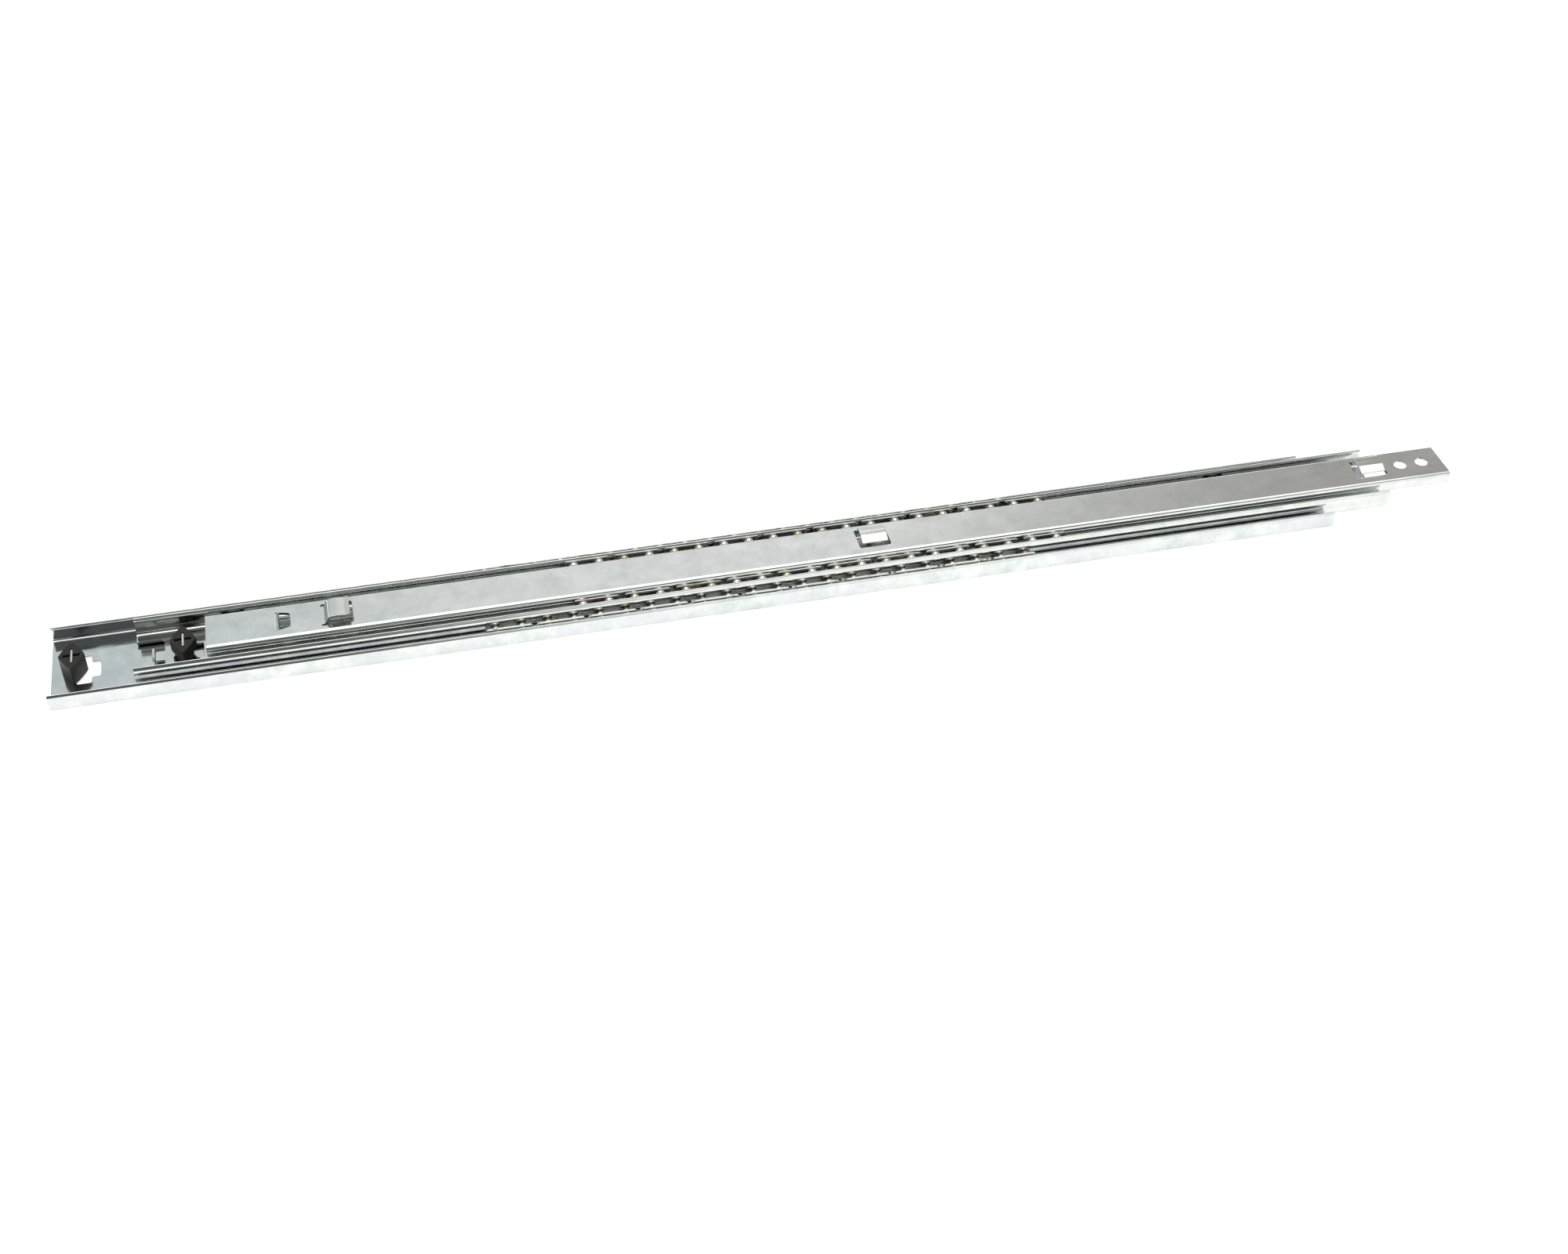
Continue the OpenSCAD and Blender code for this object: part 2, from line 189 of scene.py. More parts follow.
class BentPath:
    """A strip's mid line, drawn step by step as straight runs and bends."""

    def __init__(self, across: float, up: float, heading: float = 0.0) -> None:
        """Starts the line.

        Args:
            across: where it starts.
            up: the height that it starts at.
            heading: the way it sets off, in degrees up from level.
        """
        self.at = Vector((across, up))
        self.heading = heading
        self.arcs: list[Arc] = []
        self.run(0.0)

    def ahead(self) -> Vector:
        """The way the line goes."""
        return Vector((math.cos(math.radians(self.heading)), math.sin(math.radians(self.heading))))

    def run(self, length: float) -> "BentPath":
        """Goes straight on."""
        self.at = self.at + self.ahead() * length
        self.arcs.append(Arc(self.at.x, self.at.y, 0.0, self.heading - 90, self.heading - 90))
        return self

    def run_to(self, across: float) -> "BentPath":
        """Goes straight on until it is so far across."""
        return self.run((across - self.at.x) / self.ahead().x)

    def bend(self, radius: float, turn: float) -> "BentPath":
        """Bends by an angle in degrees, upwards if it is positive."""
        side = 1 if turn > 0 else -1
        ahead = self.ahead()
        centre = self.at + side * radius * Vector((-ahead.y, ahead.x))
        start = self.heading - 90 * side
        self.arcs.append(Arc(centre.x, centre.y, radius, start, start + turn))
        self.heading += turn
        ahead = self.ahead()
        self.at = centre - side * radius * Vector((-ahead.y, ahead.x))
        return self

    def strip(self, thickness: float, tip_radius: float) -> BentStrip:
        """The strip along the line."""
        return BentStrip(tuple(self.arcs), thickness, tip_radius)


def rounded(corners: list[Point], radius: float, steps: int = 4) -> list[Point]:
    """Rounds the corners of a polygon.

    Args:
        corners: the polygon's corners.
        radius: how far along its sides each corner is rounded.
        steps: the number of pieces that each rounding has.

    Returns:
        The rounded outline.
    """
    points = []
    for i, corner in enumerate(corners):
        at = Vector(corner)
        before = Vector(corners[i - 1]) - at
        after = Vector(corners[(i + 1) % len(corners)]) - at
        a = at + before.normalized() * min(radius, before.length / 2.1)
        b = at + after.normalized() * min(radius, after.length / 2.1)
        for k in range(steps + 1):
            t = k / steps
            p = a * (1 - t) ** 2 + at * 2 * t * (1 - t) + b * t ** 2
            points.append((p.x, p.y))
    return points


def circle(x: float, y: float, diameter: float, count: int = 48) -> list[Point]:
    """The outline of a round hole."""
    angles = [2 * math.pi * i / count for i in range(count)]
    return [(x + diameter / 2 * math.cos(a), y + diameter / 2 * math.sin(a)) for a in angles]


def grown(outline: list[Point], distance: float) -> list[Point]:
    """Moves every side of an outline outwards.

    Args:
        outline: a closed outline, in either direction.
        distance: how far the sides move.

    Returns:
        The larger outline, with as many points.
    """
    area = sum(a[0] * b[1] - b[0] * a[1] for a, b in zip(outline, outline[1:] + outline[:1]))
    sign = 1 if area > 0 else -1
    moved = []
    for i, point in enumerate(outline):
        at = Vector(point)
        into = (at - Vector(outline[i - 1])).normalized()
        out = (Vector(outline[(i + 1) % len(outline)]) - at).normalized()
        normal = Vector((into.y + out.y, -into.x - out.x)).normalized() * sign
        spread = max(0.5, normal.dot(Vector((into.y, -into.x)) * sign))
        moved.append(tuple(at + normal * distance / spread))
    return moved


def new_object(name: str, data: bpy.types.ID) -> Object:
    """Makes an object and links it to the scene."""
    made = bpy.data.objects.new(name, data)
    bpy.context.scene.collection.objects.link(made)
    return made


def solid_from(name: str, shape: bmesh.types.BMesh) -> Object:
    """Turns a mesh under construction into an object, and frees it."""
    mesh = bpy.data.meshes.new(name)
    shape.to_mesh(mesh)
    shape.free()
    return new_object(name, mesh)


def loft(name: str, rings: list[list[Vector]], material: Material) -> Object:
    """Makes a closed solid through rings of points.

    Args:
        name: the new object's name.
        rings: outlines with the same number of points, from one end to the other.
        material: the solid's finish.

    Returns:
        The solid, linked to the scene.
    """
    shape = bmesh.new()
    loops = [[shape.verts.new(p) for p in ring] for ring in rings]
    count = len(rings[0])
    for low, high in zip(loops, loops[1:]):
        for i in range(count):
            j = (i + 1) % count
            shape.faces.new((low[i], low[j], high[j], high[i]))
    shape.faces.new(loops[0][::-1])
    shape.faces.new(loops[-1])
    bmesh.ops.remove_doubles(shape, verts=shape.verts, dist=0.0005 * MM)
    bmesh.ops.recalc_face_normals(shape, faces=shape.faces)
    solid = solid_from(name, shape)
    solid.data.materials.append(material)
    return solid


def stacked(outline: list[Point], levels: list[Point]) -> list[list[Vector]]:
    """Rings of one outline, for levels that each give a height and how far the outline is grown."""
    return [[Vector((x, y, z)) for x, y in grown(outline, out)] for z, out in levels]


def crossbar(name: str, outline: list[Point], reach: float, material: Material) -> Object:
    """A straight bar across the slide, as far to each side as its reach."""
    return loft(name, [[Vector((x, y, z)) for x, z in outline] for y in (-reach, reach)], material)


def broken_ends(start: float, stop: float, rim: float) -> list[Point]:
    """Places from one end of a sweep to the other, each with its inset, that break both ends' edges."""
    breaks = [(0.0, rim), (rim * EASE, rim * EASE), (rim, 0.0)]
    return [(start + x, inset) for x, inset in breaks] + [(stop - x, inset) for x, inset in breaks[::-1]]


def settle(solid: Object) -> None:
    """Turns an object's modifiers into its own plain mesh."""
    bpy.context.view_layer.update()
    graph = bpy.context.evaluated_depsgraph_get()
    mesh = bpy.data.meshes.new_from_object(solid.evaluated_get(graph), depsgraph=graph)
    solid.modifiers.clear()
    old = solid.data
    solid.data = mesh
    bpy.data.meshes.remove(old)


def combine(solid: Object, tool: Object, joining: Joining) -> None:
    """Cuts or adds one solid with another, which is used up.

    Args:
        solid: the solid that stays.
        tool: the solid that is cut away or added.
        joining: which of the two.
    """
    step = solid.modifiers.new("combine", "BOOLEAN")
    step.object = tool
    step.operation = joining.value
    step.solver = "EXACT"
    settle(solid)
    bpy.data.meshes.remove(tool.data)


def smooth(solid: Object, angle: float = 28.0) -> None:
    """Shades a finished solid: smooth over its bends, flat over its flats, and sharp at its edges.

    Args:
        solid: the solid to shade.
        angle: the angle in degrees past which an edge stays sharp.
    """
    solid.data.shade_smooth()
    solid.data.set_sharp_from_angle(angle=math.radians(angle))
    step = solid.modifiers.new("flats", "WEIGHTED_NORMAL")
    step.keep_sharp = True
    step.weight = 100
    settle(solid)


def finish_piece(solid: Object, body: str, nodes: list[str]) -> None:
    """Hands a finished piece to the frame.

    Args:
        solid: the piece.
        body: the body that it moves with.
        nodes: the frame's nodes that it stands for.
    """
    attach(solid, body)
    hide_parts(*nodes)
    low, high = (Vector(f(v.co[i] for v in solid.data.vertices) for i in range(3)) for f in (min, max))
    size = (high - low) / MM
    log.info("%s rides on %s: %.1f x %.1f x %.1f mm, %d faces", solid.name, body, *size,
             len(solid.data.polygons))


# Node trees


def feed(tree: Tree, socket: Socket, value: object) -> None:
    """Joins an input to another socket, or gives it a value."""
    if isinstance(value, Socket):
        tree.links.new(value, socket)
    else:
        socket.default_value = value


def add_node(tree: Tree, kind: str, inputs: dict | None = None, **settings: object) -> Node:
    """Adds a node and joins it up.

    Args:
        tree: the tree that gets the node.
        kind: the node's type.
        inputs: values or other sockets for its inputs, by name or number.
        settings: the node's own properties.

    Returns:
        The new node.
    """
    node = tree.nodes.new(kind)
    for name, value in settings.items():
        setattr(node, name, value)
    for key, value in (inputs or {}).items():
        feed(tree, node.inputs[key], value)
    return node


def combined(tree: Tree, operation: str, a: object, b: object) -> Socket:
    """One number made from two."""
    return add_node(tree, "ShaderNodeMath", {0: a, 1: b}, operation=operation).outputs[0]


def masked(tree: Tree, value: Socket, low: object, high: object) -> Socket:
    """A mask that goes from 0 to 1 as a number goes from low to high."""
    return add_node(tree, "ShaderNodeMapRange", {
        "Value": value, "From Min": low, "From Max": high}).outputs[0]


def scaled(tree: Tree, mask: Socket, low: float, high: float) -> Socket:
    """A number that goes from low to high as the mask goes from 0 to 1."""
    return add_node(tree, "ShaderNodeMapRange", {"Value": mask, "To Min": low, "To Max": high}).outputs[0]


def new_tree(name: str, kind: str, inputs: dict[str, tuple[str, object]], outputs: dict[str, str]) -> tuple:
    """Starts a node group.

    Args:
        name: the group's name.
        kind: the type of tree.
        inputs: each input's socket type and its starting value, or None.
        outputs: each output's socket type.

    Returns:
        The tree, its input node and its output node.
    """
    tree = bpy.data.node_groups.new(name, kind)
    for label, (socket, value) in inputs.items():
        made = tree.interface.new_socket(label, in_out="INPUT", socket_type=socket)
        if value is not None:
            made.default_value = value
    for label, socket in outputs.items():
        tree.interface.new_socket(label, in_out="OUTPUT", socket_type=socket)
    return tree, tree.nodes.new("NodeGroupInput"), tree.nodes.new("NodeGroupOutput")


class Row:
    """Repeats a small solid along the slide, in one row or in a near and a far row."""

    inputs = {
        "Piece": ("NodeSocketObject", None),
        "Count": ("NodeSocketInt", 2),
        "Pitch": ("NodeSocketVector", (0.01, 0.0, 0.0)),
        "First": ("NodeSocketVector", (0.0, 0.0, 0.0)),
        "Second Row Count": ("NodeSocketInt", 0),
        "Second Row First": ("NodeSocketVector", (0.0, 0.0, 0.0)),
        "Finish": ("NodeSocketMaterial", None),
    }

    def __init__(self) -> None:
        """Builds the geometry tree once."""
        sockets = {"Geometry": ("NodeSocketGeometry", None)} | self.inputs
        tree, given, made = new_tree("row_along_slide", "GeometryNodeTree", sockets,
                                     {"Geometry": "NodeSocketGeometry"})
        piece = add_node(tree, "GeometryNodeObjectInfo", {"Object": given.outputs["Piece"]})
        both = tree.nodes.new("GeometryNodeJoinGeometry")
        for count, first in (("Count", "First"), ("Second Row Count", "Second Row First")):
            line = add_node(tree, "GeometryNodeMeshLine", {
                "Count": given.outputs[count],
                "Start Location": given.outputs[first],
                "Offset": given.outputs["Pitch"],
            })
            tree.links.new(line.outputs["Mesh"], both.inputs["Geometry"])
        copies = add_node(tree, "GeometryNodeInstanceOnPoints", {
            "Points": both.outputs["Geometry"], "Instance": piece.outputs["Geometry"]})
        real = add_node(tree, "GeometryNodeRealizeInstances", {"Geometry": copies.outputs["Instances"]})
        dressed = add_node(tree, "GeometryNodeSetMaterial", {
            "Geometry": real.outputs["Geometry"], "Material": given.outputs["Finish"]})
        tree.links.new(dressed.outputs["Geometry"], made.inputs["Geometry"])
        self.tree = tree

    def build(self, name: str, values: dict[str, object]) -> Object:
        """Makes one row as a plain mesh.

        Args:
            name: the new object's name.
            values: the tree's inputs, by their names. The piece is used up.

        Returns:
            The row, linked to the scene.
        """
        row = new_object(name, bpy.data.meshes.new(name))
        step = row.modifiers.new("row", "NODES")
        step.node_group = self.tree
        for socket in self.tree.interface.items_tree:
            if socket.in_out == "INPUT" and socket.name in values:
                step[socket.identifier] = values[socket.name]
        settle(row)
        bpy.data.meshes.remove(values["Piece"].data)
        return row


# Effects that several finishes share


def rolled_grain() -> Tree:
    """Fine lines left along the strip by the rolls. Gives a mask of streaks and a height."""
    tree, given, made = new_tree("rolled_grain", "ShaderNodeTree", {
        "Vector": ("NodeSocketVector", None),
        "Fineness": ("NodeSocketFloat", 900.0),
        "Stretch": ("NodeSocketFloat", 0.03),
    }, {"Streaks": "NodeSocketFloat", "Height": "NodeSocketFloat"})
    scale = add_node(tree, "ShaderNodeCombineXYZ", {"X": given.outputs["Stretch"], "Y": 1.0, "Z": 1.0})
    along = add_node(tree, "ShaderNodeVectorMath", {
        0: given.outputs["Vector"], 1: scale.outputs[0]}, operation="MULTIPLY")
    coarse_scale = combined(tree, "MULTIPLY", given.outputs["Fineness"], 0.16)
    fine = add_node(tree, "ShaderNodeTexNoise", {
        "Vector": along.outputs[0], "Scale": given.outputs["Fineness"], "Detail": 4.0})
    coarse = add_node(tree, "ShaderNodeTexNoise", {
        "Vector": along.outputs[0], "Scale": coarse_scale, "Detail": 3.0})
    blend = combined(tree, "ADD", fine.outputs["Fac"], coarse.outputs["Fac"])
    tree.links.new(masked(tree, blend, 0.75, 1.25), made.inputs["Streaks"])
    tree.links.new(fine.outputs["Fac"], made.inputs["Height"])
    return tree


def plating_bloom() -> Tree:
    """Cloudy blotches of passivated zinc plate. Gives a shade mask, a tint mask and tiny pits."""
    tree, given, made = new_tree("plating_bloom", "ShaderNodeTree", {
        "Vector": ("NodeSocketVector", None),
        "Blotch Scale": ("NodeSocketFloat", 45.0),
        "Pit Scale": ("NodeSocketFloat", 700.0),
        "Seed": ("NodeSocketFloat", 0.0),
    }, {"Shade": "NodeSocketFloat", "Tint": "NodeSocketFloat", "Pits": "NodeSocketFloat"})
    cloud = add_node(tree, "ShaderNodeTexNoise", {
        "Vector": given.outputs["Vector"], "W": given.outputs["Seed"],
        "Scale": given.outputs["Blotch Scale"], "Detail": 6.0, "Roughness": 0.62},
        noise_dimensions="4D")
    other_seed = combined(tree, "ADD", given.outputs["Seed"], 7.3)
    wide_scale = combined(tree, "MULTIPLY", given.outputs["Blotch Scale"], 0.45)
    film = add_node(tree, "ShaderNodeTexNoise", {
        "Vector": given.outputs["Vector"], "W": other_seed,
        "Scale": wide_scale, "Detail": 3.0}, noise_dimensions="4D")
    grains = add_node(tree, "ShaderNodeTexVoronoi", {
        "Vector": given.outputs["Vector"], "Scale": given.outputs["Pit Scale"]})
    shade = masked(tree, cloud.outputs["Fac"], 0.3, 0.7)
    tint = masked(tree, film.outputs["Fac"], 0.38, 0.66)
    pits = add_node(tree, "ShaderNodeMapRange", {
        "Value": grains.outputs["Distance"], "From Min": 0.05, "From Max": 0.3,
        "To Min": 1.0, "To Max": 0.0})
    tree.links.new(shade, made.inputs["Shade"])
    tree.links.new(tint, made.inputs["Tint"])
    tree.links.new(pits.outputs[0], made.inputs["Pits"])
    return tree


def grease_film() -> Tree:
    """Amber grease smeared in patches where the balls have run. Gives a mask."""
    tree, given, made = new_tree("grease_film", "ShaderNodeTree", {
        "Vector": ("NodeSocketVector", None),
        "Patch Scale": ("NodeSocketFloat", 120.0),
        "Cover": ("NodeSocketFloat", 0.3),
    }, {"Mask": "NodeSocketFloat"})
    patches = add_node(tree, "ShaderNodeTexNoise", {
        "Vector": given.outputs["Vector"], "Scale": given.outputs["Patch Scale"], "Detail": 3.0,
        "Distortion": 0.6})
    edge = combined(tree, "SUBTRACT", 0.85, given.outputs["Cover"])
    full = combined(tree, "ADD", edge, 0.12)
    tree.links.new(masked(tree, patches.outputs["Fac"], edge, full), made.inputs["Mask"])
    return tree


class Effects:
    """The shader groups, each built once."""

    def __init__(self) -> None:
        """Builds every group."""
        self.grain = rolled_grain()
        self.bloom = plating_bloom()
        self.grease = grease_film()


def place_effect(tree: Tree, effect: Tree, inputs: dict) -> Node:
    """Puts a shared effect into a material's tree."""
    return add_node(tree, "ShaderNodeGroup", inputs, node_tree=effect)


# Finishes


def start_material(name: str) -> tuple[Material, Tree, Socket]:
    """Makes an empty material.

    Args:
        name: the material's name.

    Returns:
        The material, its tree and the object coordinates.
    """
    material = bpy.data.materials.new(name)
    material.use_nodes = True
    tree = material.node_tree
    tree.nodes.clear()
    return material, tree, tree.nodes.new("ShaderNodeTexCoord").outputs["Object"]


def end_material(tree: Tree, inputs: dict[str, object]) -> None:
    """Adds the surface shader and the output.

    Args:
        tree: the material's tree.
        inputs: values or sockets for the shader.
    """
    surface = add_node(tree, "ShaderNodeBsdfPrincipled", inputs)
    add_node(tree, "ShaderNodeOutputMaterial", {"Surface": surface.outputs[0]})


def mixed(tree: Tree, mask: Socket, a: object, b: object) -> Socket:
    """A colour that goes from a to b as the mask goes from 0 to 1."""
    node = tree.nodes.new("ShaderNodeMix")
    node.data_type = "RGBA"
    for socket, value in ((node.inputs[0], mask), (node.inputs[6], a), (node.inputs[7], b)):
        feed(tree, socket, value)
    return node.outputs[2]


def bumped(tree: Tree, height: Socket, strength: float, distance: float) -> Socket:
    """The surface's normal, moved by a height."""
    return add_node(tree, "ShaderNodeBump", {
        "Height": height, "Strength": strength, "Distance": distance}).outputs[0]


@dataclass(frozen=True)
class ZincPlate:
    """Bright zinc plate on cold-rolled strip."""

    name: str
    bright: Colour = (0.76, 0.78, 0.775, 1.0)
    dull: Colour = (0.54, 0.565, 0.555, 1.0)
    film: Colour = (0.66, 0.66, 0.65, 1.0)
    film_strength: float = 0.6
    smoothest: float = 0.07
    roughest: float = 0.15
    blotch_scale: float = 110.0
    bump: float = 0.5
    grain_depth: float = 0.0015 * MM
    seed: float = 0.0

    def material(self, effects: Effects) -> Material:
        """Builds the plated finish from the shared effects."""
        material, tree, place = start_material(self.name)
        bloom = place_effect(tree, effects.bloom, {
            "Vector": place, "Blotch Scale": self.blotch_scale, "Seed": self.seed})
        grain = place_effect(tree, effects.grain, {"Vector": place})
        shade = mixed(tree, bloom.outputs["Shade"], self.dull, self.bright)
        film_mask = scaled(tree, bloom.outputs["Tint"], 0.0, self.film_strength)
        tinted = mixed(tree, film_mask, shade, self.film)
        pit_mask = scaled(tree, bloom.outputs["Pits"], 0.0, 0.35)
        colour = mixed(tree, pit_mask, tinted, self.dull)
        span = self.roughest - self.smoothest
        rough = combined(tree, "ADD", scaled(tree, grain.outputs["Streaks"], self.smoothest, self.roughest),
                         scaled(tree, bloom.outputs["Shade"], span / 2, -span / 4))
        bump = bumped(tree, grain.outputs["Height"], self.bump, self.grain_depth)
        end_material(tree, {"Base Color": colour, "Metallic": 1.0, "Roughness": rough,
                            "Normal": bump})
        return material


@dataclass(frozen=True)
class RetainerSteel:
    """Thin bright strip with a trace of grease."""

    name: str = "retainer_strip"
    steel: Colour = (0.93, 0.93, 0.91, 1.0)
    shaded: Colour = (0.80, 0.80, 0.77, 1.0)
    grease: Colour = (0.34, 0.25, 0.12, 1.0)
    grease_cover: float = 0.27
    smoothest: float = 0.22
    roughest: float = 0.36
    bump: float = 0.4
    depth: float = 0.001 * MM

    def material(self, effects: Effects) -> Material:
        """Builds the strip's finish from the shared effects."""
        material, tree, place = start_material(self.name)
        bloom = place_effect(tree, effects.bloom, {"Vector": place, "Blotch Scale": 90.0, "Seed": 3.0})
        grain = place_effect(tree, effects.grain, {"Vector": place, "Fineness": 1400.0})
        grease = place_effect(tree, effects.grease, {"Vector": place, "Cover": self.grease_cover})
        clean = mixed(tree, bloom.outputs["Shade"], self.shaded, self.steel)
        colour = mixed(tree, grease.outputs["Mask"], clean, self.grease)
        metal = scaled(tree, grease.outputs["Mask"], 1.0, 0.25)
        rough = scaled(tree, grain.outputs["Streaks"], self.smoothest, self.roughest)
        bump = bumped(tree, grain.outputs["Height"], self.bump, self.depth)
        end_material(tree, {"Base Color": colour, "Metallic": metal, "Roughness": rough,
                            "Normal": bump})
        return material


@dataclass(frozen=True)
class BallSteel:
    """Hardened, polished balls with a thin film of grease."""

    name: str = "bearing_ball"
    steel: Colour = (0.80, 0.80, 0.79, 1.0)
    film: Colour = (0.52, 0.45, 0.33, 1.0)
    smoothest: float = 0.05
    roughest: float = 0.13
    bump: float = 0.15
    depth: float = 0.003 * MM

    def material(self, effects: Effects) -> Material:
        """Builds the polished finish from the shared effects."""
        material, tree, place = start_material(self.name)
        grease = place_effect(tree, effects.grease, {
            "Vector": place, "Patch Scale": 260.0, "Cover": 0.36})
        bloom = place_effect(tree, effects.bloom, {
            "Vector": place, "Blotch Scale": 400.0, "Pit Scale": 2500.0})
        colour = mixed(tree, grease.outputs["Mask"], self.steel, self.film)
        rough = scaled(tree, bloom.outputs["Shade"], self.smoothest, self.roughest)
        bump = bumped(tree, bloom.outputs["Pits"], self.bump, self.depth)
        end_material(tree, {"Base Color": colour, "Metallic": 1.0, "Roughness": rough,
                            "Normal": bump})
        return material


@dataclass(frozen=True)
class MouldedRubber:
    """Black rubber with the faint texture of its mould and rubbed, dusty patches."""

    name: str = "bumper_rubber"
    black: Colour = (0.009, 0.008, 0.008, 1.0)
    rubbed: Colour = (0.022, 0.019, 0.019, 1.0)
    smoothest: float = 0.42
    roughest: float = 0.6
    bump: float = 0.4
    depth: float = 0.02 * MM

    def material(self, effects: Effects) -> Material:
        """Builds the rubber from the shared effects."""
        material, tree, place = start_material(self.name)
        bloom = place_effect(tree, effects.bloom, {
            "Vector": place, "Blotch Scale": 260.0, "Pit Scale": 2200.0, "Seed": 5.0})
        colour = mixed(tree, bloom.outputs["Shade"], self.black, self.rubbed)
        rough = scaled(tree, bloom.outputs["Shade"], self.smoothest, self.roughest)
        bump = bumped(tree, bloom.outputs["Pits"], self.bump, self.depth)
        end_material(tree, {"Base Color": colour, "Roughness": rough, "Normal": bump,
                            "Specular IOR Level": 0.3})
        return material


@dataclass(frozen=True)
class StudioSweep:
    """The matt white paper that the slide lies on, lit from below as well."""

    name: str = "white_paper"
    paper: Colour = (0.90, 0.90, 0.89, 1.0)
    shaded: Colour = (0.88, 0.88, 0.865, 1.0)
    glow: float = 0.76

    def material(self, effects: Effects) -> Material:
        """Builds the paper from the shared effects."""
        material, tree, place = start_material(self.name)
        bloom = place_effect(tree, effects.bloom, {"Vector": place, "Blotch Scale": 3.0})
        colour = mixed(tree, bloom.outputs["Shade"], self.paper, self.shaded)
        end_material(tree, {"Base Color": colour, "Roughness": 0.9, "Emission Color": self.paper,
                            "Emission Strength": self.glow})
        return material


# The slide's shared sizes


class BallSet:
    """The balls of one retainer, as the frame has them."""

    def __init__(self, name: str) -> None:
        """Reads the balls' size, spacing and places.

        Args:
            name: the set's name in the frame, outer or inner.
        """
        low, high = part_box(f"{name}_balls_far_01")
        self.name = name
        self.nodes = sorted(n for n in frame["nodes"] if n.startswith(f"{name}_balls_"))
        self.per_side = len(self.nodes)
        self.diameter = high.z - low.z
        self.pitch = high.x - low.x - self.diameter
        self.across = (low.y + high.y) / 2
        self.up = (low.z + high.z) / 2
        self.first = low.x + self.diameter / 2


@dataclass(frozen=True)
class SlideSizes:
    """Sizes that several pieces share. What the frame holds is read from it."""

    sheet: float = 1.2 * MM
    lanced_sheet: float = 1.18 * MM
    ball_clear: float = 0.1 * MM
    tip: float = 0.3 * MM
    rim: float = 0.15 * MM
    outer_lip: float = 42.0
    middle_lip: float = 47.0
    groove: float = 15.0
    cross: float = 10.0
    inner_groove: float = 25.0
    inner_edge: float = 0.5 * MM
    outer_bend: float = 1.8 * MM
    tab_width: float = 8.0 * MM
    tab_bend: float = 1.2 * MM
    root: float = 2.5 * MM
    drawer_face: float = 12.7 * MM
    outer: BallSet = field(default_factory=lambda: BallSet("outer"))
    inner: BallSet = field(default_factory=lambda: BallSet("inner"))

    @property
    def race(self) -> float:
        """Radius of the mid line of every race."""
        return self.outer.diameter / 2 + self.ball_clear + self.sheet / 2

    def tab_under(self, bumper: str) -> Point:
        """Where the tab in a bumper starts to bend, and where its front face is, along the slide."""
        low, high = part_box(bumper)
        middle = (low.x + high.x) / 2
        return middle - self.tab_bend, middle + self.sheet / 2


def channel(name: str, strip: BentStrip, ends: Point, rim: float, material: Material) -> Object:
    """Sweeps a channel along the slide, with its sawn ends broken.

    Args:
        name: the new object's name.
        strip: the section from the middle of the web to the tip of a flange.
        ends: where the channel starts and stops.
        rim: how much the ends' edges are broken.
        material: the finish.

    Returns:
        The channel.
    """
    rings = [[Vector((x, y, z)) for y, z in strip.mirrored_outline(inset)]
             for x, inset in broken_ends(*ends, rim)]
    return loft(name, rings, material)


@dataclass(frozen=True)
class Punch:
    """A hole or opening through a flat web, with its edges broken on both faces."""

    outline: list[Point]
    low: float
    high: float
    rim: float
    over: float = 0.2 * MM

    def cut(self, solid: Object) -> None:
        """Cuts the opening out of a member."""
        heights = [
            (self.low - self.over, self.rim + self.over),
            (self.low + self.rim, 0.0),
            (self.high - self.rim, 0.0),
            (self.high + self.over, self.rim + self.over),
        ]
        rings = stacked(self.outline, heights)
        combine(solid, loft("punch", rings, solid.data.materials[0]), Joining.CUT)


@dataclass(frozen=True)
class Ribbon:
    """A tab or hook lanced out of a web and bent along its length."""

    strip: BentStrip
    root: Vector
    width: float
    heading: Heading
    rim: float

    def place(self, along: float, up: float, aside: float) -> Vector:
        """Where a point of the ribbon lies on the slide."""
        if self.heading is Heading.ACROSS:
            return self.root + Vector((aside, -along, up))
        sign = 1 if self.heading is Heading.FRONT else -1
        return self.root + Vector((sign * along, aside, up))

    def add(self, solid: Object) -> None:
        """Joins the ribbon to its member."""
        half = self.width / 2
        rings = [[self.place(u, w, v) for u, w in self.strip.outline(inset)]
                 for v, inset in broken_ends(-half, half, self.rim)]
        combine(solid, loft("ribbon", rings, solid.data.materials[0]), Joining.ADD)


def upright(sizes: SlideSizes, height: float, down: bool = False) -> BentStrip:
    """The side view of a tab that is bent square to its web.

    Args:
        sizes: the slide's shared sizes.
        height: from the web's mid line to the tab's end.
        down: whether the tab goes down instead of up.

    Returns:
        The strip, with its root's bend starting at 0 along.
    """
    turn = -90 if down else 90
    path = BentPath(-sizes.root, 0.0).run_to(0.0).bend(sizes.tab_bend, turn)
    path.run(height - sizes.tip - sizes.tab_bend)
    return path.strip(sizes.lanced_sheet, sizes.tip)


# Members


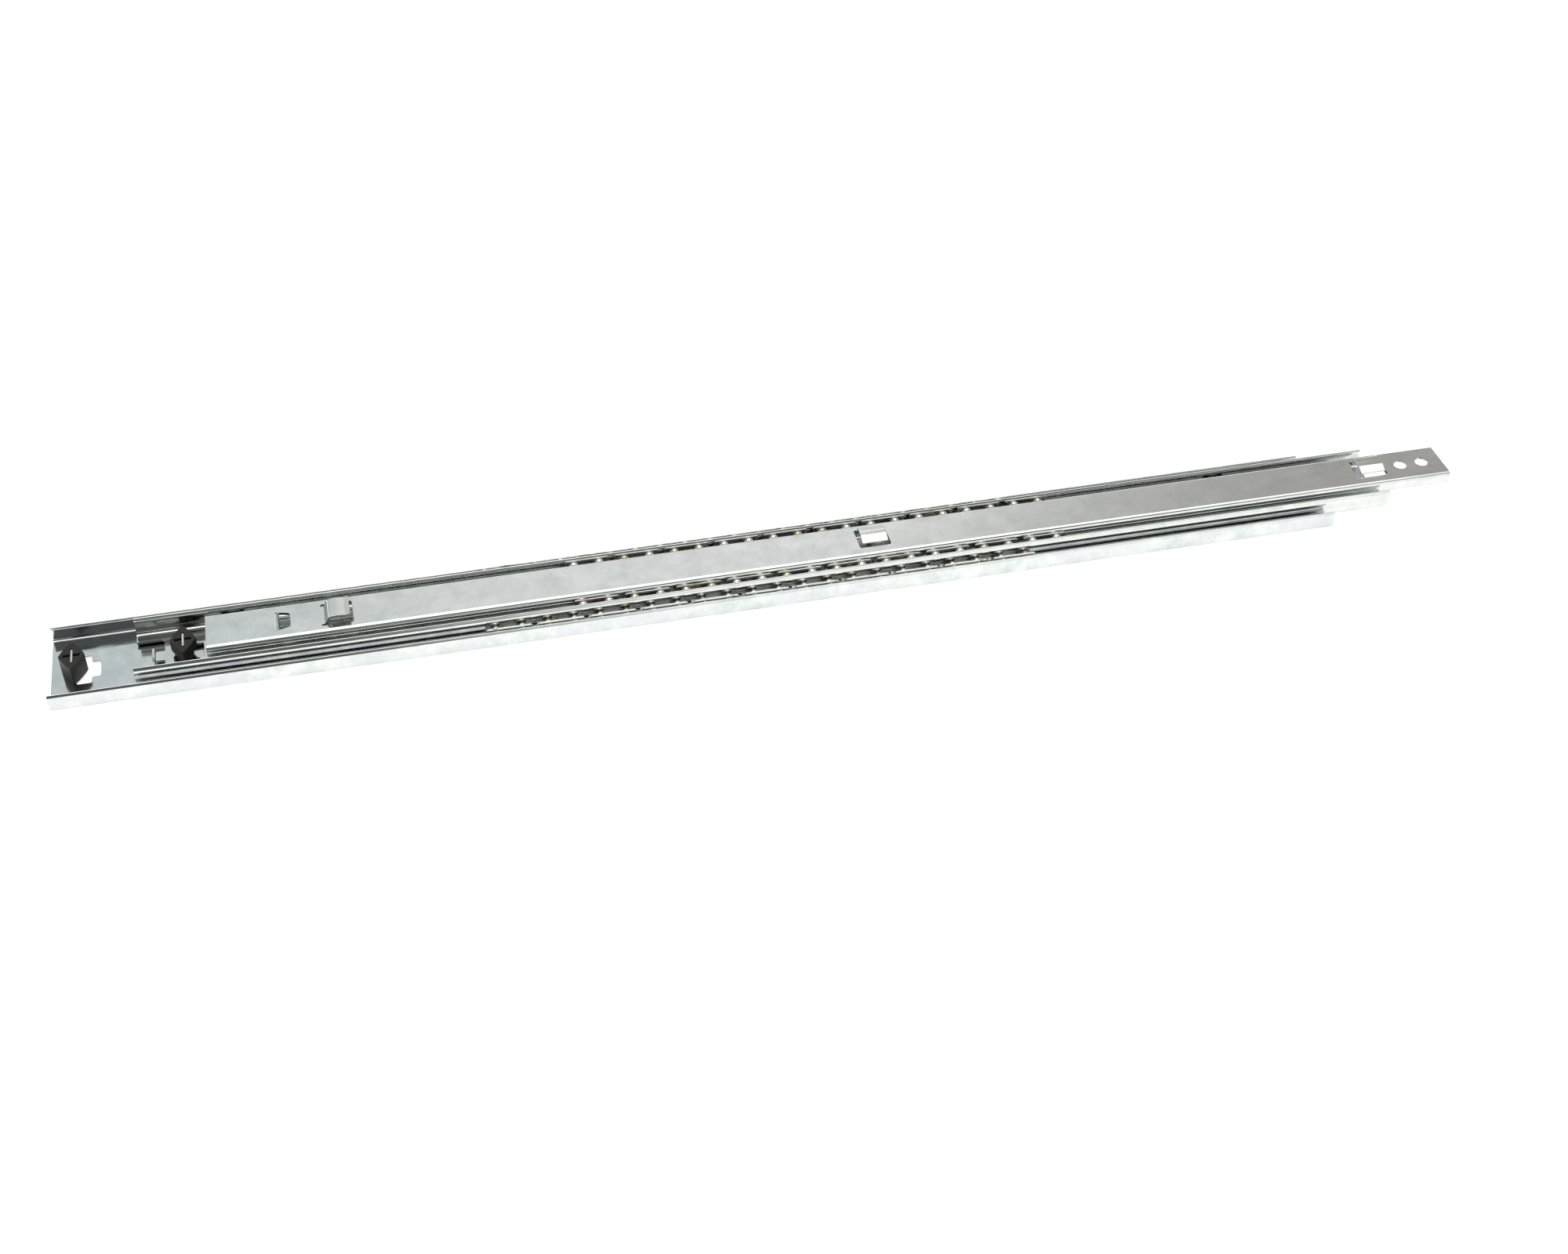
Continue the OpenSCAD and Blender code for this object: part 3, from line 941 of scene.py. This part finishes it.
@dataclass(frozen=True)
class OuterMember:
    """The channel that is screwed to the cabinet."""

    sizes: SlideSizes
    opening_width: float = 17.0 * MM
    opening_length: float = 6.0 * MM
    nose_width: float = 9.2 * MM
    nose_length: float = 9.6 * MM
    corner: float = 1.0 * MM
    slit: float = 0.2 * MM
    tab_height: float = 9.7 * MM
    hole: float = 4.6 * MM
    holes: tuple[float, ...] = ()

    def section(self) -> BentStrip:
        """The half section, from the web round the corner, up the wall and over the balls."""
        s = self.sizes
        web = s.sheet / 2
        wall = s.outer.across + s.race
        lip = s.outer_lip - math.degrees(s.tip / s.race)
        return BentStrip((
            Arc(wall - s.outer_bend, web + s.outer_bend, s.outer_bend, -90, 0),
            Arc(s.outer.across, s.outer.up, s.race, 0, lip),
        ), s.sheet, s.tip)

    def build(self, material: Material) -> Object:
        """Forms the channel, punches it and turns its tab up.

        Args:
            material: the plated finish.

        Returns:
            The finished member.
        """
        s = self.sizes
        low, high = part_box("outer_member")
        member = channel("outer_channel", self.section(), (low.x, high.x), s.rim, material)
        bend, front = s.tab_under("outer_bumper")
        half = s.tab_width / 2 + self.slit
        right = [
            (bend, half), (front, half), (front, self.opening_width / 2),
            (front + self.opening_length, self.opening_width / 2),
            (front + self.opening_length, self.nose_width / 2),
            (front + self.nose_length, self.nose_width / 2),
        ]
        stepped = right + [(x, -y) for x, y in right[::-1]]
        Punch(rounded(stepped, self.corner), 0.0, s.sheet, s.rim).cut(member)
        for x in self.holes:
            Punch(circle(x, 0.0, self.hole), 0.0, s.sheet, s.rim).cut(member)
        web = s.sheet / 2
        Ribbon(upright(s, self.tab_height - web), Vector((bend, 0.0, web)), s.tab_width,
               Heading.FRONT, s.rim).add(member)
        smooth(member)
        finish_piece(member, "outer", ["outer_member"])
        return member


@dataclass(frozen=True)
class IntermediateMember:
    """The channel between the two rows of balls on each side."""

    sizes: SlideSizes
    web_cut: float = 11.4 * MM
    web_cut_width: float = 20.6 * MM
    corner: float = 1.6 * MM
    opening_width: float = 9.0 * MM
    opening_length: float = 6.9 * MM
    opening_corner: float = 0.8 * MM
    tab_height: float = 6.9 * MM
    tongue_length: float = 5.0 * MM
    tongue_width: float = 5.6 * MM
    tongue_rise: float = 2.0 * MM
    tongue_bend: float = 1.0 * MM
    access: float = 10.0 * MM
    holes: tuple[float, ...] = ()

    def section(self) -> BentStrip:
        """The half section, from the web round both races."""
        s = self.sizes
        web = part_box("intermediate_member")[0].z + s.sheet / 2
        lean = math.radians(s.groove)
        bend = (s.outer.up - s.race * math.sin(lean) - web) / (1 + math.sin(lean))
        bend_across = s.outer.across - (s.race + bend) * math.cos(lean)
        lip = s.middle_lip - math.degrees(s.tip / s.race)
        return BentStrip((
            Arc(bend_across, web + bend, bend, -90, s.groove),
            Arc(s.outer.across, s.outer.up, s.race, 180 + s.groove, 180 - s.cross),
            Arc(s.inner.across, s.inner.up, s.race, -s.cross, lip),
        ), s.sheet, s.tip)

    def build(self, material: Material) -> Object:
        """Forms the channel, cuts its web back and adds its tab and striker tongue.

        Args:
            material: the plated finish.

        Returns:
            The finished member.
        """
        s = self.sizes
        low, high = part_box("intermediate_member")
        member = channel("intermediate_channel", self.section(), (low.x, high.x), s.rim, material)
        floor, face = low.z, low.z + s.sheet
        bend, front = s.tab_under("intermediate_bumper")
        cut_at, half = low.x + self.web_cut, self.web_cut_width / 2
        back = low.x - self.corner * 2
        notch = [(back, -half), (cut_at, -half), (cut_at, half), (back, half)]
        Punch(rounded(notch, self.corner), floor, face, s.rim).cut(member)
        slot = self.opening_width / 2
        opening = [(bend, -slot), (front + self.opening_length, -slot),
                   (front + self.opening_length, slot), (bend, slot)]
        Punch(rounded(opening, self.opening_corner), floor, face, s.rim).cut(member)
        for x in self.holes:
            Punch(circle(x, 0.0, self.access), floor, face, s.rim).cut(member)
        web = floor + s.sheet / 2
        Ribbon(upright(s, self.tab_height + s.sheet / 2), Vector((bend, 0.0, web)), s.tab_width,
               Heading.FRONT, s.rim).add(member)
        Ribbon(self.tongue(), Vector((cut_at, 0.0, web)), self.tongue_width, Heading.REAR,
               s.rim).add(member)
        smooth(member)
        finish_piece(member, "intermediate", ["intermediate_member"])
        return member

    def tongue(self) -> BentStrip:
        """The side view of the striker tongue, with its end turned up."""
        s = self.sizes
        reach = self.tongue_length - s.sheet / 2
        path = BentPath(-s.root, 0.0).run_to(reach - self.tongue_bend).bend(self.tongue_bend, 90)
        path.run(self.tongue_rise + s.sheet / 2 - s.tip - self.tongue_bend)
        return path.strip(s.lanced_sheet, s.tip)


@dataclass(frozen=True)
class Hook:
    """A lanced hook that a drawer bracket slips under: a steep riser, and a top with a free end."""

    sizes: SlideSizes
    reach: float
    width: float
    start: float
    rise: float = 3.5 * MM
    bend: float = 1.0 * MM
    slope: float = 75.0

    def riser(self, top: float) -> BentPath:
        """The path from inside the root, up the riser and on to the top.

        Args:
            top: the angle that the top starts at, in degrees up from level.

        Returns:
            The path so far.
        """
        r, slope = self.bend, math.radians(self.slope)
        climb = self.rise - 2 * r * (1 - math.cos(slope))
        path = BentPath(-self.sizes.root, 0.0).run_to(self.start).bend(r, self.slope)
        return path.run(climb / math.sin(slope)).bend(r, top - self.slope)

    def strip(self) -> BentStrip:
        """The hook's side view, which each kind of hook draws for itself."""
        raise NotImplementedError

    def end(self, path: BentPath) -> BentStrip:
        """Runs a path on to the hook's free end."""
        path.run_to(self.reach - self.sizes.tip)
        return path.strip(self.sizes.lanced_sheet, self.sizes.tip)


@dataclass(frozen=True)
class ArchedHook(Hook):
    """The rear hook, with a slightly arched top and a raised end."""

    arch: float = 9.0
    arch_radius: float = 18.0 * MM
    flare: float = 14.0

    def strip(self) -> BentStrip:
        """The hook's side view."""
        path = self.riser(self.arch).bend(self.arch_radius, -2 * self.arch)
        return self.end(path.bend(2 * self.bend, self.arch + self.flare))


@dataclass(frozen=True)
class SteppedHook(Hook):
    """A side hook, whose top has one shallow step and slopes down to its end."""

    fall: float = 3.0
    tread: float = 2.1 * MM
    step: float = 14.0
    step_radius: float = 0.8 * MM
    end_fall: float = 26.0

    def strip(self) -> BentStrip:
        """The hook's side view."""
        path = self.riser(-self.fall).run(self.tread)
        path.bend(self.step_radius, -self.step).bend(self.step_radius, self.step).run(self.tread)
        return self.end(path.bend(self.bend, self.fall - self.end_fall))


@dataclass(frozen=True)
class InnerMember:
    """The channel that carries the drawer, with its hooks, stop tab and screw holes."""

    sizes: SlideSizes
    stop_from_rear: float = 28.9 * MM
    stop_width: float = 11.0 * MM
    stop_drop: float = 5.6 * MM
    stop_opening: float = 4.6 * MM
    stop_front_width: float = 8.6 * MM
    stop_slit: float = 0.15 * MM
    rear_hook_slope: float = 60.0
    rear_hook_from_rear: float = 47.4 * MM
    middle_hook_from_rear: float = 286.1 * MM
    front_hook_from_front: float = 35.5 * MM
    hook_width: float = 11.6 * MM
    hook_slit: float = 1.1 * MM
    rear_hook_reach: float = 12.0 * MM
    side_hook_reach: float = 11.3 * MM
    side_hook_root: float = 7.0 * MM
    corner: float = 0.9 * MM
    hole: float = 5.6 * MM
    hole_gap: float = 10.5 * MM
    hole_from_front: float = 9.5 * MM
    hole_rim: float = 0.3 * MM

    def section(self) -> BentStrip:
        """The half section, from the web over the bend and down the groove."""
        s = self.sizes
        web = s.drawer_face - s.sheet / 2
        lean, under = math.radians(s.groove), math.radians(s.inner_groove)
        bend = (web - s.inner.up - s.race * math.sin(lean)) / (1 + math.sin(lean))
        bend_across = s.inner.across - (s.race + bend) * math.cos(lean)
        edge = s.inner_edge - s.tip
        return BentStrip((
            Arc(bend_across, web - bend, bend, 90, -s.groove),
            Arc(s.inner.across, s.inner.up, s.race, 180 - s.groove, 180 + s.inner_groove),
            Arc(s.inner.across - s.race * math.cos(under) + edge * math.sin(under),
                s.inner.up - s.race * math.sin(under) - edge * math.cos(under),
                0.0, 180 + s.inner_groove, 180 + s.inner_groove),
        ), s.sheet, s.tip)

    def build(self, material: Material) -> Object:
        """Forms the channel, punches it and bends its hooks and stop tab.

        Args:
            material: the plated finish.

        Returns:
            The finished member.
        """
        s = self.sizes
        low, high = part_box("inner_member")
        member = channel("inner_channel", self.section(), (low.x, high.x), s.rim, material)
        floor, web = s.drawer_face - s.sheet, s.drawer_face - s.sheet / 2
        tab = low.x + self.stop_from_rear + s.sheet / 2
        bend = tab - s.tab_bend
        front = tab + s.sheet / 2 + self.stop_opening
        half, front_half = self.stop_width / 2 + self.stop_slit, self.stop_front_width / 2
        opening = [(bend, -half), (tab, -half), (front, -front_half), (front, front_half), (tab, half),
                   (bend, half)]
        Punch(rounded(opening, self.corner), floor, s.drawer_face, s.rim).cut(member)
        Ribbon(upright(s, self.stop_drop - s.sheet / 2, down=True), Vector((bend, 0.0, web)),
               self.stop_width, Heading.FRONT, s.rim).add(member)
        rear = Vector((low.x + self.rear_hook_from_rear, 0.0, web))
        rear_hook = ArchedHook(s, self.rear_hook_reach, self.hook_width, self.hook_slit,
                               slope=self.rear_hook_slope)
        self.lance(member, rear_hook, rear, Heading.FRONT)
        side_hook = SteppedHook(s, self.side_hook_reach, self.hook_width, self.hook_slit / 2)
        for x in (low.x + self.middle_hook_from_rear, high.x - self.front_hook_from_front):
            self.lance(member, side_hook, Vector((x, self.side_hook_root, web)), Heading.ACROSS)
        for i in range(2):
            x = high.x - self.hole_from_front - i * self.hole_gap
            Punch(circle(x, 0.0, self.hole), floor, s.drawer_face, self.hole_rim).cut(member)
        smooth(member)
        finish_piece(member, "inner", ["inner_member"])
        return member

    def lance(self, member: Object, hook: Hook, root: Vector, heading: Heading) -> None:
        """Cuts the opening round a hook and bends the hook out of it.

        Args:
            member: the member that the hook belongs to.
            hook: the hook's shape.
            root: where the hook leaves the web, at mid thickness.
            heading: the way it runs.
        """
        half = hook.width / 2 + self.hook_slit
        reach = hook.reach + self.hook_slit
        ribbon = Ribbon(hook.strip(), root, hook.width, heading, self.sizes.rim)
        sides = ((0, -half), (reach, -half), (reach, half), (0, half))
        corners = [ribbon.place(u, 0.0, v) for u, v in sides]
        outline = rounded([(p.x, p.y) for p in corners], self.corner)
        floor = self.sizes.drawer_face - self.sizes.sheet
        Punch(outline, floor, self.sizes.drawer_face, self.sizes.rim).cut(member)
        ribbon.add(member)


# Retainers, balls and bumpers


@dataclass(frozen=True)
class BallRetainer:
    """A thin U of strip that spaces the balls of one set."""

    sizes: SlideSizes
    balls: BallSet
    window: float
    sloped: bool
    thickness: float = 0.5 * MM
    bend: float = 1.0 * MM
    gap: float = 0.15 * MM
    bridge: float = 0.6 * MM
    tip: float = 0.12 * MM
    rim: float = 0.08 * MM
    notch: float = 2.6 * MM
    notch_corner: float = 0.9 * MM
    notch_foot: float = 0.5 * MM
    notch_ease: float = 0.15 * MM

    @property
    def node(self) -> str:
        """The retainer's node in the frame."""
        return f"{self.balls.name}_ball_retainer"

    def section(self) -> BentStrip:
        """The half section: a web, a bend or a slope, and an upright leg."""
        s, r = self.sizes, self.bend
        low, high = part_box(self.node)
        web = low.z + self.thickness / 2
        leg = high.y - self.thickness / 2
        top = Arc(leg, high.z - self.tip, 0.0, 0, 0)
        if not self.sloped:
            return BentStrip((Arc(leg - r, web + r, r, -90, 0), top), self.thickness, self.tip)
        inside = s.race - s.sheet / 2 - self.gap - self.thickness / 2
        line = self.balls.across - self.balls.up + math.sqrt(2) * inside
        return BentStrip((
            Arc(line + web + r * (1 - math.sqrt(2)), web + r, r, -90, -45),
            Arc(leg - r, leg - line + r * (math.sqrt(2) - 1), r, -45, 0),
            top,
        ), self.thickness, self.tip)

    def notch_cutter(self, low: float, high: float, reach: float, material: Material) -> Object:
        """A cutter for the gap between two pairs, which leaves rounded shoulders.

        Args:
            low: the notch's bottom.
            high: the leg's top edge.
            reach: how far the cutter goes to each side.
            material: the finish of the cut faces.

        Returns:
            The cutter, at the middle of the slide's length.
        """
        half, c = self.notch / 2, self.notch_corner
        foot, ease = self.notch_foot, self.notch_ease
        right = [(half - foot, low), (half - ease, low + ease), (half, low + foot)]
        for i in range(7):
            angle = math.radians(180 - 15 * i)
            right.append((half + c + c * math.cos(angle), high - c + c * math.sin(angle)))
        right.append((half + c, high + OVERRUN))
        outline = right + [(-x, z) for x, z in right[::-1]]
        return crossbar("notch", outline, reach, material)

    def build(self, row: Row, material: Material) -> Object:
        """Forms the strip, and cuts its windows, notches and rounded ends.

        Args:
            row: the tree that repeats a cutter along the slide.
            material: the strip's finish.

        Returns:
            The finished retainer.
        """
        low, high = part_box(self.node)
        strip = channel(f"{self.balls.name}_retainer", self.section(), (low.x, high.x), self.rim, material)
        top = high.z - self.bridge
        middle = top - self.window
        reach = high.y + OVERRUN
        count, pitch = self.balls.per_side, self.balls.pitch
        hole = crossbar("window", circle(0.0, middle, 2 * self.window, 32), reach, material)
        windows = row.build("windows", {
            "Piece": hole, "Count": count, "Pitch": (pitch, 0.0, 0.0),
            "First": (self.balls.first, 0.0, 0.0), "Finish": material})
        combine(strip, windows, Joining.CUT)
        bottom = middle - self.window
        notches = row.build("notches", {
            "Piece": self.notch_cutter(bottom, high.z, reach, material), "Count": count // 2 - 1,
            "Pitch": (2 * pitch, 0.0, 0.0), "First": (self.balls.first + 1.5 * pitch, 0.0, 0.0),
            "Finish": material})
        combine(strip, notches, Joining.CUT)
        shoulders = row.build("shoulders", {
            "Piece": self.notch_cutter(bottom, high.z, reach, material), "Count": 2,
            "Pitch": (high.x - low.x + self.notch, 0.0, 0.0),
            "First": (low.x - self.notch / 2, 0.0, 0.0), "Finish": material})
        combine(strip, shoulders, Joining.CUT)
        smooth(strip)
        finish_piece(strip, f"{self.balls.name}_cage", [self.node])
        return strip


@dataclass(frozen=True)
class BallRows:
    """The balls of one retainer, in a near and a far row."""

    balls: BallSet
    around: int = 28
    over: int = 16

    def build(self, row: Row, material: Material) -> Object:
        """Sets the balls out along both races.

        Args:
            row: the tree that repeats a piece along the slide.
            material: the polished finish.

        Returns:
            Both rows as one piece.
        """
        shape = bmesh.new()
        bmesh.ops.create_uvsphere(shape, u_segments=self.around, v_segments=self.over,
                                  radius=self.balls.diameter / 2)
        firsts = {side: (self.balls.first, side.value * self.balls.across, self.balls.up) for side in Side}
        rows = row.build(f"{self.balls.name}_balls", {
            "Piece": solid_from("ball", shape), "Count": self.balls.per_side,
            "Pitch": (self.balls.pitch, 0.0, 0.0), "First": firsts[Side.NEAR],
            "Second Row Count": self.balls.per_side, "Second Row First": firsts[Side.FAR],
            "Finish": material})
        rows.data.shade_smooth()
        finish_piece(rows, f"{self.balls.name}_cage", self.balls.nodes)
        return rows


@dataclass(frozen=True)
class Bumper:
    """A moulded diamond that is pressed over a member's tab."""

    sizes: SlideSizes
    member: str
    length: float = 10.8 * MM
    width: float = 18.0 * MM
    bulge: float = 0.8 * MM
    corner: float = 0.55 * MM
    edge: float = 0.25 * MM
    arm_length: float = 6.8 * MM
    arm_width: float = 1.4 * MM
    slot_clear: float = 0.05 * MM
    head: float = 0.0
    neck_length: float = 5.5 * MM
    neck_width: float = 12.0 * MM
    slot_rim: float = 0.12 * MM
    sharp: float = 35.0

    def diamond(self, x: float) -> list[Point]:
        """The diamond's outline, with bulging sides and blunted corners."""
        a, b = self.length / 2, self.width / 2
        tips = [(a, 0.0), (0.0, b), (-a, 0.0), (0.0, -b)]
        points = []
        for i, tip in enumerate(tips):
            after = tips[(i + 1) % 4]
            lean = math.radians(90 * i + 45)
            for k in range(8):
                t = k / 8
                out = self.bulge * 2 * t * (1 - t)
                points.append((x + tip[0] * (1 - t) + after[0] * t + out * math.cos(lean),
                               tip[1] * (1 - t) + after[1] * t + out * math.sin(lean)))
        return rounded(points, self.corner, 3)

    def block(self, outline: list[Point], low: float, high: float, material: Material) -> Object:
        """A moulded block with softened top and bottom edges.

        Args:
            outline: the block's plan.
            low: its bottom.
            high: its top.
            material: the rubber.

        Returns:
            The block.
        """
        e = self.edge
        levels = [(low, -e), (low + e, 0.0), (high - e, 0.0), (high - EASE * e, -EASE * e), (high, -e)]
        return loft("block", stacked(outline, levels), material)

    def build(self, material: Material) -> Object:
        """Moulds the bumper and its cross-shaped slot.

        Args:
            material: the rubber.

        Returns:
            The finished bumper.
        """
        node = f"{self.member}_bumper"
        low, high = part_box(node)
        x = (low.x + high.x) / 2
        bottom = high.z - self.head if self.head else low.z
        bumper = self.block(self.diamond(x), bottom, high.z, material)
        if self.head:
            a, b = self.neck_length / 2, self.neck_width / 2
            plan = rounded([(x - a, -b), (x + a, -b), (x + a, b), (x - a, b)], self.corner)
            combine(bumper, self.block(plan, low.z, bottom + OVERRUN, material), Joining.ADD)
        across = self.sizes.sheet / 2 + self.slot_clear
        along = self.sizes.tab_width / 2 + self.slot_clear
        arm, half = self.arm_length / 2, self.arm_width / 2
        quarter = [(arm, half), (across, half), (across, along)]
        top = quarter + [(-px, py) for px, py in quarter[::-1]]
        cross = [(x + px, py) for px, py in top + [(-px, -py) for px, py in top]]
        Punch(cross, low.z, high.z, self.slot_rim).cut(bumper)
        bumper.name = f"{self.member}_diamond"
        smooth(bumper, self.sharp)
        finish_piece(bumper, self.member, [node])
        return bumper


# Studio


@dataclass(frozen=True)
class SoftLight:
    """A soft patch of the studio's surroundings, bright or dark, seen from the slide."""

    turn: float
    height: float
    colour: tuple[float, float, float]
    inner: float
    outer: float

    def direction(self) -> Vector:
        """The way to the patch. A turn of 0 is the far side of the slide, and 90 is its front end."""
        turn, height = math.radians(self.turn), math.radians(self.height)
        level = math.cos(height)
        return Vector((math.sin(turn) * level, math.cos(turn) * level, math.sin(height)))


@dataclass(frozen=True)
class Studio:
    """White paper under soft light, and the camera."""

    base: tuple[float, float, float] = (0.46, 0.48, 0.465)
    horizon: tuple[float, float, float] = (1.25, 1.26, 1.2)
    lights: tuple[SoftLight, ...] = (
        SoftLight(8.0, 41.0, (0.98, 0.985, 0.98), 10.0, 26.0),
        SoftLight(-22.0, 40.0, (0.74, 0.80, 0.80), 6.0, 22.0),
        SoftLight(40.0, 40.0, (0.50, 0.485, 0.46), 6.0, 19.0),
        SoftLight(203.0, 28.0, (0.13, 0.135, 0.13), 26.0, 36.0),
        SoftLight(150.0, 25.0, (1.3, 1.34, 1.3), 18.0, 30.0),
        SoftLight(160.0, 52.0, (0.11, 0.12, 0.10), 8.0, 15.0),
        SoftLight(0.0, 85.0, (2.0, 2.0, 1.95), 24.0, 34.0),
    )
    stand_off: tuple[float, float, float] = (-0.1650, -0.7028, 0.5799)
    yaw: float = 13.247
    pitch: float = -40.622
    roll: float = 0.40
    lens: float = 48.74
    floor_size: float = 24.0
    floor_gap: float = 0.05 * MM

    def light(self) -> None:
        """Surrounds the slide with a bright horizon and the soft patches."""
        scene = bpy.context.scene
        world = bpy.data.worlds.new("studio")
        world.use_nodes = True
        scene.world = world
        scene.view_settings.view_transform = "Standard"
        tree = world.node_tree
        tree.nodes.clear()
        way = tree.nodes.new("ShaderNodeTexCoord").outputs["Generated"]
        height = add_node(tree, "ShaderNodeSeparateXYZ", {"Vector": way}).outputs["Z"]
        low = add_node(tree, "ShaderNodeMapRange", {
            "Value": height, "From Min": 0.08, "From Max": 0.32}, interpolation_type="SMOOTHSTEP")
        colour = mixed(tree, low.outputs[0], (*self.horizon, 1.0), (*self.base, 1.0))
        for patch in self.lights:
            near = add_node(tree, "ShaderNodeVectorMath", {0: way, 1: patch.direction()},
                            operation="DOT_PRODUCT")
            mask = add_node(tree, "ShaderNodeMapRange", {
                "Value": near.outputs["Value"],
                "From Min": math.cos(math.radians(patch.outer)),
                "From Max": math.cos(math.radians(patch.inner))}, interpolation_type="SMOOTHSTEP")
            colour = mixed(tree, mask.outputs[0], colour, (*patch.colour, 1.0))
        glow = add_node(tree, "ShaderNodeBackground", {"Color": colour, "Strength": 1.0})
        add_node(tree, "ShaderNodeOutputWorld", {"Surface": glow.outputs[0]})

    def lay_floor(self, material: Material) -> Object:
        """Lays the paper just under the slide."""
        half = self.floor_size / 2
        z = CAD_BOX[0].z - self.floor_gap
        mesh = bpy.data.meshes.new("paper")
        corners = [(-half, -half, z), (half, -half, z), (half, half, z), (-half, half, z)]
        mesh.from_pydata(corners, [], [(0, 1, 2, 3)])
        mesh.materials.append(material)
        floor = new_object("paper", mesh)
        return floor

    def place_camera(self) -> Object:
        """Stands the camera over the slide's near side."""
        lens = bpy.data.cameras.new("camera")
        lens.lens = self.lens
        lens.sensor_width = 36.0
        lens.clip_start = 0.01
        lens.clip_end = 60.0
        camera = new_object("camera", lens)
        turn = Matrix.Rotation(math.radians(-self.yaw), 4, "Z")
        tilt = Matrix.Rotation(math.radians(90 + self.pitch), 4, "X")
        lean = Matrix.Rotation(math.radians(self.roll), 4, "Z")
        middle = (CAD_BOX[0] + CAD_BOX[1]) / 2
        camera.matrix_world = Matrix.Translation(middle + Vector(self.stand_off)) @ turn @ tilt @ lean
        bpy.context.scene.camera = camera
        return camera


def screw_places() -> tuple[float, ...]:
    """Where the record has the cabinet screws, along the slide."""
    screws = next(m for m in frame["record"]["mounts"] if m["name"] == "cabinet_screws")
    half = screws["dims"]["spacing_x_mm"] * MM / 2
    return (screws["pos_m"][0] - half, screws["pos_m"][0] + half)


def main() -> None:
    """Builds the slide piece by piece, then the studio round it."""
    logging.basicConfig(level=logging.INFO, format="%(name)s: %(message)s")
    sizes = SlideSizes()
    effects = Effects()
    row = Row()
    holes = screw_places()

    outer_plate = ZincPlate("outer_zinc", dull=(0.50, 0.54, 0.525, 1.0), film=(0.59, 0.60, 0.645, 1.0),
                            film_strength=0.7, seed=1.0)
    middle_plate = ZincPlate("intermediate_zinc", seed=2.0)
    inner_plate = ZincPlate("inner_zinc", seed=4.0)
    OuterMember(sizes, holes=holes).build(outer_plate.material(effects))
    IntermediateMember(sizes, holes=holes).build(middle_plate.material(effects))
    InnerMember(sizes).build(inner_plate.material(effects))

    strip = RetainerSteel().material(effects)
    BallRetainer(sizes, sizes.outer, OUTER_WINDOW, sloped=True).build(row, strip)
    BallRetainer(sizes, sizes.inner, INNER_WINDOW, sloped=False).build(row, strip)
    steel = BallSteel().material(effects)
    BallRows(sizes.outer).build(row, steel)
    BallRows(sizes.inner).build(row, steel)

    rubber = MouldedRubber().material(effects)
    Bumper(sizes, "outer").build(rubber)
    Bumper(sizes, "intermediate", head=BUMPER_HEAD).build(rubber)

    studio = Studio()
    studio.light()
    studio.lay_floor(StudioSweep().material(effects))
    studio.place_camera()


if __name__ == "__main__":
    main()
